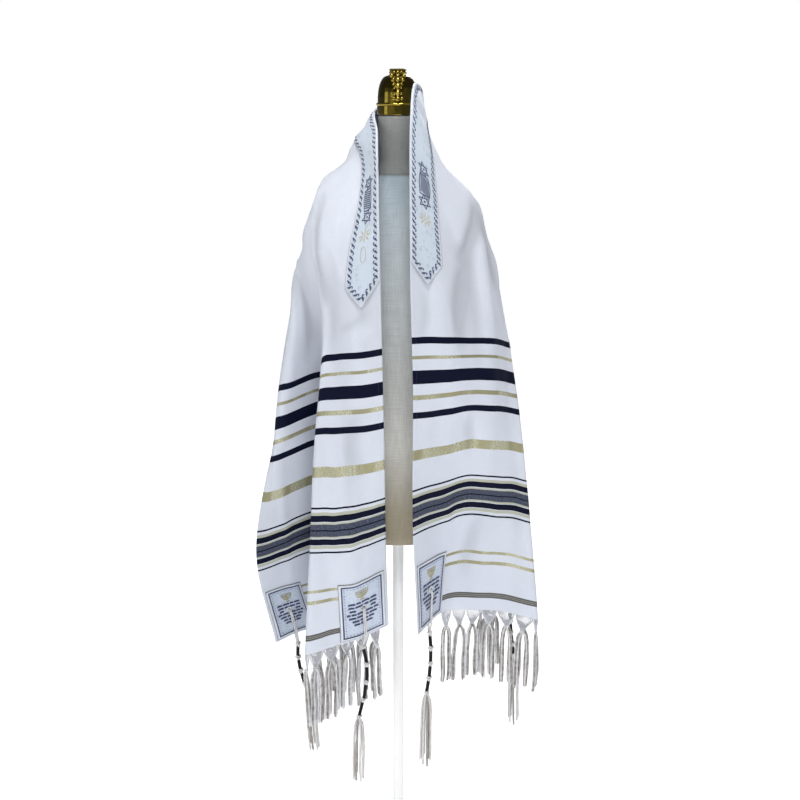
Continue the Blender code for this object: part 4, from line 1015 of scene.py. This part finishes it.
def build_patch_stitches(name, side, outer, threads):
    """Border, dots, a seven-armed lamp and rows of lozenges."""
    work = Stitches(patch_place(side, outer), TRIM_LIFT + TRIM_SHOWN / 2 + 0.0005)

    def box(inset):
        right, top = PATCH_WIDE - inset, PATCH_HIGH - inset
        return [(inset, inset), (right, inset), (right, top), (inset, top)]

    for inset, width, slot, height in BORDERS:
        work.stroke(box(inset), width, slot, closed=True, height=height, step=0.004)
    for a, b, angle in along_path(box(DOT_INSET), DOT_PITCH):
        work.leaf(a, b, angle, 0.0017, 0.0013, corners=6)
    middle, lamp = PATCH_WIDE / 2, PATCH_HIGH - LAMP_DROP
    for arm in range(1, 4):
        reach = ARM_STEP * arm
        work.stroke([(middle + reach * math.cos(turn), lamp + ARM_TOP - reach * math.sin(turn) * 1.02)
                     for turn in np.linspace(0, math.pi, 13)], 0.0018, 2)
    work.stroke([(middle, lamp - 0.0035), (middle, lamp + ARM_TOP)], 0.0019, 2)
    work.stroke([(middle - 0.0042, lamp - 0.0042), (middle + 0.0042, lamp - 0.0042)], 0.0015, 2)
    for arm in range(-3, 4):
        work.leaf(middle + ARM_STEP * arm, lamp + 0.0132, math.pi / 2, 0.0034, 0.0022, 2, corners=8)
    for row, dashes in enumerate(DASH_ROWS):
        b = lamp - DASH_DROP - row * DASH_STEP
        a = middle - (sum(dashes) + DASH_GAP * (len(dashes) - 1)) / 2
        for dash in dashes:
            if abs(b - HOLE_B) > 0.0050 or abs(a + dash / 2 - HOLE_A) > 0.0080:     # clear of the hole
                work.stroke([(a, b - 0.0004), (a + dash / 2, b + 0.0004), (a + dash, b - 0.0002)], 0.0030,
                            step=0.0025)
                for share in (0.2, 0.55, 0.85):
                    work.leaf(a + dash * share, b + 0.0012, 1.3, 0.0036, 0.0013, corners=6)
            a += dash + DASH_GAP
    work.stroke(oval(HOLE_A, HOLE_B, 0.0050, 0.0050), 0.0026, 1, closed=True, height=0.0005, step=0.0015)
    return work.build(name + "_embroidery", threads)


# ---- fringes -------------------------------------------------------------------------------------
YARNS, GROUP_FILL = 15, 0.94    # warp yarns drawn into each knot, the share of the hem that they fill
FRINGE_CLEAR = 0.004            # from a patch to the first yarn
HEM_INTO = 0.0015               # how far the yarns start inside the hem
THICK_YARN, THIN_YARN, FRINGE_KNOT = 0.00105, 0.00048, 0.0036
LOCK_STRANDS, LOCK_RADIUS, LOCK_PITCH = 5, 0.0017, 0.0070
LOCK_SHARES = np.array([(0.0,), (0.07,), (0.16,), (0.32,), (0.5,), (0.7,), (0.88,), (1.0,)])


def knot_loop(centre, right, front, up, size):
    """The path of a small overhand knot."""
    turns = np.linspace(0, TURN, 37)
    x = np.sin(turns) + 2 * np.sin(2 * turns)
    y = np.cos(turns) - 2 * np.cos(2 * turns)
    z = -np.sin(3 * turns)
    return centre + (x[:, None] * right + y[:, None] * up + 1.2 * z[:, None] * front) * size / 3


def level(vector):
    return unit(np.array([vector[0], vector[1], 0]))


def build_fringe(side, name, materials):
    pile = Pile()
    start = PATCH_OUT + FRINGE_CLEAR
    pitch = (SHAWL_WIDTH - 2 * start) / FRINGE_GROUPS
    random = np.random.default_rng(11 if side < 0 else 12)
    for group in range(FRINGE_GROUPS):
        marks = start + pitch * (group + (np.arange(YARNS) + 0.5) / YARNS * GROUP_FILL)
        tops, normals = surface(np.full(YARNS, hem_s(side, HEM_INTO)), marks)
        right = level(tops[-1] - tops[0])
        front = normals.mean(axis=0)
        front = level(front - right * np.dot(front, right))
        drop = KNOT_DROP + 0.002 * math.sin(1.3 * group + side)
        knot = tops.mean(axis=0) - UP * (drop + HEM_INTO) + right * 0.0020 * math.sin(2.1 * group)
        for k, top in enumerate(tops):
            share = (k + 0.5) / YARNS - 0.5
            target = knot + right * share * 0.0022 + front * 0.0006 * math.sin(2.2 * k)
            below = top - UP * 0.004
            waist = below + (target - below) * 0.62 + right * share * 0.0030 + UP * 0.0004
            radius, slot = (THICK_YARN, 0) if k in (0, YARNS - 1) else (THIN_YARN, 1)
            pile.tube(resample([top, below, waist, target], 0.0035), radius, 5, slot)
        pile.tube(knot_loop(knot, right, front, UP, FRINGE_KNOT), 0.0012)
        for sign in (-1, 1):
            wave = random.uniform(-1, 1, 4)
            length = LOCK_DROP - KNOT_DROP - 0.008 * random.uniform(0, 1)
            opened = 1 - np.exp(-LOCK_SHARES / 0.09)
            line = (knot - UP * length * LOCK_SHARES
                    + right * sign * (0.0012 + (0.0062 + 0.0010 * wave[2]) * opened)
                    + right * 0.0012 * wave[1] * np.sin(3.0 * LOCK_SHARES + wave[2] * 2)
                    + front * 0.0018 * np.sin(3.1 * LOCK_SHARES + group)
                    + front * 0.0008 * wave[3] * LOCK_SHARES)
            for strand, turn in enumerate(around(LOCK_STRANDS) + wave[0]):
                aside = right * math.cos(turn) * 0.0026 + front * math.sin(turn) * 0.0020
                path = line + aside * (0.45 + 0.55 * opened + 0.25 * np.sin(9 * LOCK_SHARES + strand))
                path[-1] += UP * random.uniform(0, 0.004)
                # Painted shade: two strands of each lock take the darker yarn.
                slot = 2 if strand in (1, 3) else 0
                pile.ply(path, LOCK_RADIUS, LOCK_PITCH, slot, 5, strand + wave[0], 0.0018)
    return pile.build(name + "_yarn", materials)


# ---- tassels -------------------------------------------------------------------------------------
# The swing of a tassel: sideways place at a depth below its hole, in millimetres. The cord's knots and
# windings run from the first depth to the last but one.
Tassel = namedtuple("Tassel", "name side across swing")
TASSELS = (
    Tassel("tassel_front_left", -1, HOLE_ACROSS,
           ((0, 0), (-3, 74), (2, 104), (3, 130), (-2, 165), (-11, 203), (-13, 328))),
    Tassel("tassel_outer_left", -1, SHAWL_WIDTH - HOLE_ACROSS,
           ((0, 0), (3, 74), (2, 96), (5, 120), (11, 146), (20, 174), (26, 281))),
    Tassel("tassel_front_right", 1, HOLE_ACROSS,
           ((0, 0), (1, 74), (3, 99), (3, 124), (1, 151), (-3, 181), (-4, 315))),
    Tassel("tassel_outer_right", 1, SHAWL_WIDTH - HOLE_ACROSS,
           ((0, 0), (0, 74), (1, 96), (3, 118), (6, 140), (9, 162), (13, 300))))
CORD, CORD_PITCH = 0.0014, 0.0048
LEG_UPS = np.array([HOLE_UP - 0.005, 0.040, 0.022, 0.006])     # heights above the hem of the cord's legs
KNOT_SIZE, WINDINGS, WINDING, WINDING_PITCH, WINDING_THREAD = 0.0045, 4, 0.0028, 0.00125, 0.00068
STRANDS, STRAND_RADIUS, STRAND_PITCH, STRAND_SPREAD = 8, 0.0022, 0.0066, 0.0062
STRAND_SHARES = np.array([(0.0,), (0.08,), (0.22,), (0.42,), (0.64,), (0.84,), (1.0,)])


def build_tassel(tassel, materials):
    """Four legs of cord through the hole, knots with dark windings between them, and loose strands."""
    pile = Pile()
    holes, normals = surface(np.array([hem_s(tassel.side, HOLE_UP)]), np.array([tassel.across]))
    hole, normal = holes[0], normals[0]
    front = level(normal)
    right = np.cross(UP, front)
    hem_point = surface(np.array([hem_s(tassel.side, 0.0)]), np.array([tassel.across]))[0][0]
    swings, depths = np.array(tassel.swing).T / 1000

    def centre_at(depth):
        depth = np.asarray(depth, dtype=float)
        return np.stack([hem_point[0] + np.interp(depth, depths, swings), hem_point[1] + 0 * depth,
                         hole[2] - depth], axis=-1)

    first, last = depths[1], depths[-2]
    clear = TRIM_LIFT + TRIM_SHOWN / 2 + 0.0008 + CORD
    legs = hem_s(tassel.side, LEG_UPS), np.full(len(LEG_UPS), tassel.across)
    face, face_normals = surface(*legs, clear)
    back, _ = surface(*legs, -CLOTH_SHOWN / 2 - 0.0004 - CORD)
    top = centre_at(first)
    for sign in (-1, 1):
        aside = right * sign * CORD * 0.95
        path = [hole + normal * 0.0005 + aside * 0.6, face[0] + face_normals[0] * 0.0006 + aside * 0.8]
        path += [point + aside for point in face[1:]] + [top + aside * 0.7 + front * 0.0006]
        pile.ply(path, CORD, CORD_PITCH, 0, 6, sign)
        path = [hole - normal * 0.0008 + aside * 0.6] + [point + aside for point in back]
        pile.ply(path + [top + aside * 0.7 - front * 0.0016], CORD, CORD_PITCH, 0, 6, 1 + sign)
    pitch = (last - first) / WINDINGS
    for k in range(WINDINGS + 1):
        centre = centre_at(first + k * pitch + 0.001)
        tilt = unit(right + front * (0.35 if k % 2 else -0.3))
        across = np.cross(UP, tilt)
        pile.tube(knot_loop(centre, tilt, across, UP, KNOT_SIZE), 0.0013, 7)
        pile.tube(knot_loop(centre - UP * 0.0016, across, -tilt, UP, KNOT_SIZE * 0.86), 0.0012, 7)
    for k in range(WINDINGS):
        low, high = first + (k + 0.18) * pitch, first + (k + 0.94) * pitch
        turns = (high - low) / WINDING_PITCH
        steps = int(turns * 12)
        core = centre_at(np.linspace(low, high, steps))
        turn = np.linspace(0, TURN * turns, steps)
        swell = WINDING - 0.0006 + 0.00015 * np.sin(np.linspace(0, math.pi, steps))
        coil = core + (right * np.cos(turn)[:, None] + front * np.sin(turn)[:, None]) * swell[:, None]
        pile.tube(coil, WINDING_THREAD, 5, 1)
        pile.tube(core[::6], WINDING - 0.0007, 8, 1)
    end = last + 0.004
    random = np.random.default_rng(40 + len(tassel.name) + (tassel.side > 0))
    spread = 0.0014 + STRAND_SPREAD * (1 - np.exp(-STRAND_SHARES / 0.08)) + 0.0008 * STRAND_SHARES
    for k, turn in enumerate(around(STRANDS)):
        wave = random.uniform(-1, 1, 3)
        length = depths[-1] - end - 0.014 * random.uniform(0, 1)
        sway = right * 0.0016 * wave[0] * np.sin(4 * STRAND_SHARES + wave[1] * 2)
        away = right * math.cos(turn) + front * math.sin(turn)
        path = (centre_at(end + length * STRAND_SHARES[:, 0]) + away * spread
                + sway * np.minimum(1, 3 * STRAND_SHARES))
        # Painted shade: every third strand takes the darker yarn.
        pile.ply(path, STRAND_RADIUS, STRAND_PITCH, 0 if k % 3 else 2, 5, k, 0.0016)
        pile.tube(knot_loop(path[-1] + UP * 0.004, right, front, UP, 0.0013), 0.0006, 5)
    return pile.build(tassel.name + "_cord", materials)


# ---- the form ------------------------------------------------------------------------------------
Section = namedtuple("Section", "depth half_width half_depth shift")
# Level sections of the neck and body in millimetres: depth below the ring, half sizes, shift backwards.
TORSO = (
    (7.8, 29, 29, 0), (45, 28, 28, 0), (80, 29.5, 29, 0), (98, 40, 33, 0), (112, 64, 39, 2),
    (126, 86, 46, 3), (145, 99, 53, 2), (175, 106, 62, 0), (220, 105, 68, -2), (280, 98, 68, -2),
    (350, 88, 62, -1), (410, 82, 59, 0), (480, 86, 62, 1), (560, 94, 67, 3), (620, 96, 69, 4),
    (645, 93.5, 67.5, 4), (657, 84, 59, 4))
NECK_SEAM, NECK_SEAM_HALF = 0.0895, 0.0016      # depth of the seam between neck and body, half its width
LONG_SEAMS, LONG_SEAM_HALF = (90, 215, 325, 0, 180), 0.0018     # back, two in front, and the sides
SEAM_INSET = 0.0009
TORSO_SIDES, TORSO_RINGS = 144, 170
GIRTH_RADIUS = 0.09             # the body's usual radius, which its map is laid out by


def smooth_columns(marks, knots, values):
    """Smooth values through knots, without overshoot."""
    slopes = np.diff(values, axis=0) / np.diff(knots)[:, None]
    tangents = np.vstack([slopes[:1], (slopes[:-1] + slopes[1:]) / 2, slopes[-1:]])
    none = np.zeros((1, values.shape[1]))
    tangents = np.where(np.vstack([none, slopes[:-1] * slopes[1:], none]) < 0, 0, tangents)
    i = np.clip(np.searchsorted(knots, marks, side="right") - 1, 0, len(knots) - 2)
    j, span = i + 1, (knots[i + 1] - knots[i])[:, None]
    return cubic((marks - knots[i])[:, None] / span, span, values[i], values[j], tangents[i], tangents[j])


def build_torso(material):
    sections = np.array(in_metres(Section, TORSO))
    marks = np.linspace(sections[0, 0], sections[-1, 0], TORSO_RINGS)
    width, depth, shift = smooth_columns(marks, sections[:, 0], sections[:, 1:]).T[:, :, None]
    angles = around(TORSO_SIDES)
    seam = np.exp(-((marks - NECK_SEAM) / NECK_SEAM_HALF) ** 2)[:, None] * np.ones(TORSO_SIDES)
    body = np.clip((marks - 0.10) / 0.03, 0, 1)[:, None]        # the long seams start below the neck
    for degrees in LONG_SEAMS:
        away = np.angle(np.exp(1j * (angles - math.radians(degrees))))
        seam += body * np.exp(-(away * 0.08 / LONG_SEAM_HALF) ** 2)[None]
    inset = SEAM_INSET * np.clip(seam, 0, 1)
    x, y = (width - inset) * np.cos(angles), shift + (depth - inset) * np.sin(angles)
    z = np.broadcast_to(RING_Z - marks[:, None], x.shape)
    uv = np.stack([np.broadcast_to(angles * GIRTH_RADIUS, x.shape), z], axis=-1)
    faces = grid_faces(*x.shape, closed=True)[:, ::-1].tolist()
    faces += [list(range(TORSO_SIDES)), list(range(x.size - TORSO_SIDES, x.size))[::-1]]
    return make_object("form_linen_body", np.stack([x, y, z], axis=-1).reshape(-1, 3), faces, [material],
                       uv.reshape(-1, 2))


# The turned ornament down the front of the cap, in millimetres: height above the ring's middle, radius.
ORNAMENT = ((10, 0.8), (11.5, 2.8), (14, 4), (16.5, 3.6), (18.8, 1.9), (21.2, 2.7), (23.8, 3.5),
            (26.2, 2.2), (28.4, 1.8), (30.4, 3.3), (33, 4.1), (35.6, 3.1), (37.6, 1.6), (39.8, 3.1),
            (42.4, 3.7), (44.8, 2.9), (46.6, 2), (48.2, 4.2), (49.2, 4))
ORNAMENT_WIDER, ORNAMENT_SIDES, ORNAMENT_RINGS = 1.2, 20, 90
Ball = namedtuple("Ball", "aside height radius")
# Small balls on both sides of it, in millimetres.
BALLS = ((8.6, 46.2, 3.4), (6.6, 40.4, 3.2), (5.8, 35, 2.4), (4.6, 30, 2), (4.6, 21.5, 2.2), (5.6, 15, 3))
CROWN_BALLS, CROWN_RADIUS, CROWN_HEIGHT, CROWN_BALL = 11, 0.0094, 0.0508, 0.0034
DOME_RADIUS, DOME_HEIGHT, DOME_BASE = 0.0292, 0.042, 0.0078     # the source's cap
LEDGE_RADIUS, LEDGE_THICK, LEDGE_SIDES, LEDGE_RINGS = 0.0291, 0.0024, 64, 11    # moulding on its joint


def dome_radius(height):
    """The cap's radius at a height above its base."""
    rise = np.clip(height / DOME_HEIGHT, 0, 0.985)
    return DOME_RADIUS * np.sqrt(np.sqrt(1 - rise ** (2 / 0.78)))


def turned(radius, height, sides, x=0.0, y=0.0):
    """Rings of points round the line at (x, y), for columns of radii and of heights above the ring."""
    turn = around(sides)
    corners = as_arrays(x + radius * np.cos(turn), y + radius * np.sin(turn), RING_Z + height)
    return np.stack(corners, axis=-1)


def ball(x, y, height, radius):
    fall = np.linspace(0.15, math.pi - 0.15, 7)[:, None]
    return turned(radius * np.sin(fall), height + radius * np.cos(fall), 12, x, y)


def build_ornament(material):
    marks = np.array(ORNAMENT) / 1000
    heights = np.linspace(marks[0, 0], marks[-1, 0], ORNAMENT_RINGS)
    radius = ORNAMENT_WIDER * smooth_columns(heights, marks[:, 0], marks[:, 1:])
    forward = dome_radius(heights - DOME_BASE)[:, None]
    column = turned(radius, heights[:, None], ORNAMENT_SIDES, y=-forward)
    grids = [column[::-1]]
    for aside, height, size in in_metres(Ball, BALLS):
        out = math.sqrt(dome_radius(height - DOME_BASE) ** 2 - aside ** 2)
        grids += [ball(sign * aside, -out, height, size) for sign in (-1, 1)]
    for turn in TURN * (np.arange(CROWN_BALLS) + 0.25) / CROWN_BALLS:
        x, y = CROWN_RADIUS * math.cos(turn), CROWN_RADIUS * math.sin(turn)
        grids.append(ball(x, y, CROWN_HEIGHT, CROWN_BALL))
    pile = Pile()
    for grid in grids:
        rows, sides = grid.shape[:2]
        ends = [list(range(sides)), list(range((rows - 1) * sides, rows * sides))[::-1]]
        pile.add(grid.reshape(-1, 3), grid_faces(rows, sides, closed=True)[:, ::-1].tolist() + ends)
    roll = np.linspace(0, TURN, LEDGE_RINGS)[:, None]
    ledge = turned(LEDGE_RADIUS + LEDGE_THICK * np.cos(roll), DOME_BASE - LEDGE_THICK * np.sin(roll),
                   LEDGE_SIDES)
    pile.add(ledge.reshape(-1, 3), grid_faces(LEDGE_RINGS, LEDGE_SIDES, closed=True)[:, ::-1].tolist())
    return make_object("cap_ornament", np.vstack(pile.verts), pile.faces, [material])


# ---- putting it together -------------------------------------------------------------------------
def paint(material, *nodes):
    """Gives CAD nodes that stay as they are another material."""
    for node in nodes:
        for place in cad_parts[node].material_slots:
            place.material = material


def declare(piece, slot, *nodes):
    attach(piece, "root")
    if nodes:
        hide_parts(*nodes)
    return piece


def build_pieces():
    navy = thread_finish("embroidery_navy", linear(66, 74, 112))
    patch_navy = thread_finish("embroidery_patch_navy", linear(42, 52, 104))
    white = thread_finish("embroidery_white", linear(214, 218, 226))
    gold = thread_finish("embroidery_gold", linear(178, 170, 122), metallic=0.25, roughness=0.5)
    pale = thread_finish("embroidery_pale_gold", linear(196, 192, 164))
    yarn = yarn_finish("fringe_white_yarn", linear(236, 237, 242), linear(216, 215, 216))
    warp = yarn_finish("fringe_warp_yarn", linear(206, 208, 216), linear(182, 184, 190))
    # Painted shade: a darker copy of the white yarn, given to some strands to stand for the shade between
    # them.
    shaded = yarn_finish("shaded_yarn", linear(184, 179, 174), linear(128, 119, 108))
    cord = yarn_finish("tassel_white_cord", linear(236, 236, 238), linear(212, 208, 203))
    black = yarn_finish("tassel_black_cord", linear(5, 6, 9), linear(10, 11, 16), sheen=0.04)
    body = declare(build_torso(linen_finish()), "form_linen", "form_torso")
    cloth = declare(build_cloth(cloth_finish()), "shawl_cloth", "shawl_cloth")
    satin = satin_finish("neckband_brocade", linear(196, 207, 220), linear(180, 192, 208), band_edge, 110)
    band = declare(build_band(satin), "neckband_brocade", "neckband")
    on_band = declare(build_band_stitches([navy, white, pale]), "neckband_brocade")
    brocade = satin_finish("patch_brocade", linear(188, 199, 216), linear(168, 182, 205), patch_edge, 190)
    for name, side, outer in PATCHES:
        declare(build_patch(name, side, outer, brocade), "patch_brocade", name)
        work = build_patch_stitches(name, side, outer, [patch_navy, white, gold])
        declare(work, "patch_brocade")
    for side, name in ((-1, "fringe_left"), (1, "fringe_right")):
        declare(build_fringe(side, name, [yarn, warp, shaded]), "fringe_yarn", name)
    for tassel in TASSELS:
        declare(build_tassel(tassel, [cord, black, shaded]), "tassel_cord", tassel.name)
    # Lit and shaded copies of one brass: the ornament takes the lighter copy here, and the cap takes the
    # darker copy below.
    bright = metal_finish("form_gold_bright", (164, 146, 66), (118, 98, 34), (300.0, 3.0), (300.0, 3.0),
                          (0.10, 0.22), (0.0001, 0.3))
    declare(build_ornament(bright), "form_gold")
    # Painted reflection: the cap, ring and finial brass is made dark olive to stand for the dark room
    # that it reflects.
    dark_reflection_gold = metal_finish("form_gold_polish", (98, 86, 36), (74, 64, 22), (55.0, 5.0, 0.65), (240.0, 2.0),
                          (0.10, 0.24), (0.00008, 0.25))
    paint(dark_reflection_gold, "form_neck_ring", "form_cap", "form_finial")
    paint(stand_finish(), "stand_pole", "stand_base")


FLOOR_RADIUS, FLOOR_SIDES = 60.0, 96
FLOOR_GLOW = 0.65               # lifts the paper floor to the backdrop's white


def build_floor():
    finish = Finish("floor_paper", Base_Color=linear(244, 244, 245), Roughness=0.85,
                    Emission_Color=(1, 1, 1, 1), Emission_Strength=FLOOR_GLOW)
    finish.bump(finish.noise(60.0, 3.0), 0.0004, 0.2)
    rim = [place + (0.0,) for place in oval(0, 0, FLOOR_RADIUS, FLOOR_RADIUS, FLOOR_SIDES)]
    make_object("floor", rim, [range(FLOOR_SIDES)], [finish.material])


# Area lights: name, place, what they point at, width, height, power in watts and colour.
Lamp = namedtuple("Lamp", "name place target width height power colour")
LAMPS = (
    Lamp("crown", (0, -0.30, 2.0), (0, 0, 1.0), 0.4, 0.3, 5.2, (1.0, 0.995, 0.98)),
    Lamp("low", (0.1, -1.6, 0.30), (0, 0, 0.62), 0.9, 0.4, 7.0, (0.97, 0.985, 1.0)),
    Lamp("left", (-2.4, -1.2, 1.6), (0, 0, 1.0), 0.8, 0.8, 11, (0.98, 0.99, 1.0)),
    Lamp("right", (2.4, -1.2, 1.6), (0, 0, 1.0), 0.8, 0.8, 3.5, (0.98, 0.99, 1.0)),
    Lamp("back", (0.5, 2.3, 2.3), (0, 0, 1.0), 1.4, 1.4, 25, (0.99, 0.99, 1.0)),
    Lamp("glint_left", (-0.55, -0.90, 1.52), (0, 0, 1.38), 0.03, 0.26, 0.34, (1.0, 0.93, 0.78)),
    Lamp("glint_right", (0.10, -1.30, 1.80), (0, 0, 1.38), 0.03, 0.12, 0.16, (1.0, 0.93, 0.78)))
TOP_LIGHT, TOP_SPREAD = 0.95, math.radians(30)
BACKDROP_WHITE, ROOM_LIGHT = 1.0, 0.15
CAMERA_PLACE, CAMERA_TILT, CAMERA_LENS, CAMERA_FILM = (0.003, -1.5, 1.36), 16.17, 45.0, 36.0


def link_new(name, data):
    obj = bpy.data.objects.new(name, data)
    bpy.context.scene.collection.objects.link(obj)
    return obj


def build_lights():
    """A white studio: its backdrop is seen white, and lights the shawl more softly than that."""
    world = bpy.data.worlds.new("studio")
    world.use_nodes = True
    nodes, links = world.node_tree.nodes, world.node_tree.links
    room, backdrop = nodes["Background"], nodes.new("ShaderNodeBackground")
    for background, colour, strength in ((room, (0.95, 0.97, 1.0, 1), ROOM_LIGHT),
                                         (backdrop, (1, 1, 1, 1), BACKDROP_WHITE)):
        background.inputs["Color"].default_value = colour
        background.inputs["Strength"].default_value = strength
    ray, mixed = nodes.new("ShaderNodeLightPath"), nodes.new("ShaderNodeMixShader")
    links.new(ray.outputs["Is Camera Ray"], mixed.inputs[0])
    links.new(room.outputs[0], mixed.inputs[1])
    links.new(backdrop.outputs[0], mixed.inputs[2])
    links.new(mixed.outputs[0], nodes["World Output"].inputs["Surface"])
    bpy.context.scene.world = world
    for lamp in LAMPS:
        data = bpy.data.lights.new(lamp.name, "AREA")
        data.shape, data.size, data.size_y = "RECTANGLE", lamp.width, lamp.height
        data.energy, data.color = lamp.power, lamp.colour
        obj = link_new(lamp.name, data)
        obj.location = lamp.place
        aim = Vector(lamp.target) - Vector(lamp.place)
        obj.rotation_euler = aim.to_track_quat("-Z", "Y").to_euler()
    top = bpy.data.lights.new("top", "SUN")
    top.energy, top.angle = TOP_LIGHT, TOP_SPREAD
    link_new("top", top)
    bpy.context.scene.view_settings.view_transform = "Standard"


def build_camera():
    data = bpy.data.cameras.new("camera")
    data.lens, data.sensor_width = CAMERA_LENS, CAMERA_FILM
    camera = link_new("camera", data)
    camera.location = CAMERA_PLACE
    camera.rotation_euler = (math.radians(90 - CAMERA_TILT), 0, 0)
    bpy.context.scene.camera = camera


build_pieces()
build_floor()
build_lights()
build_camera()
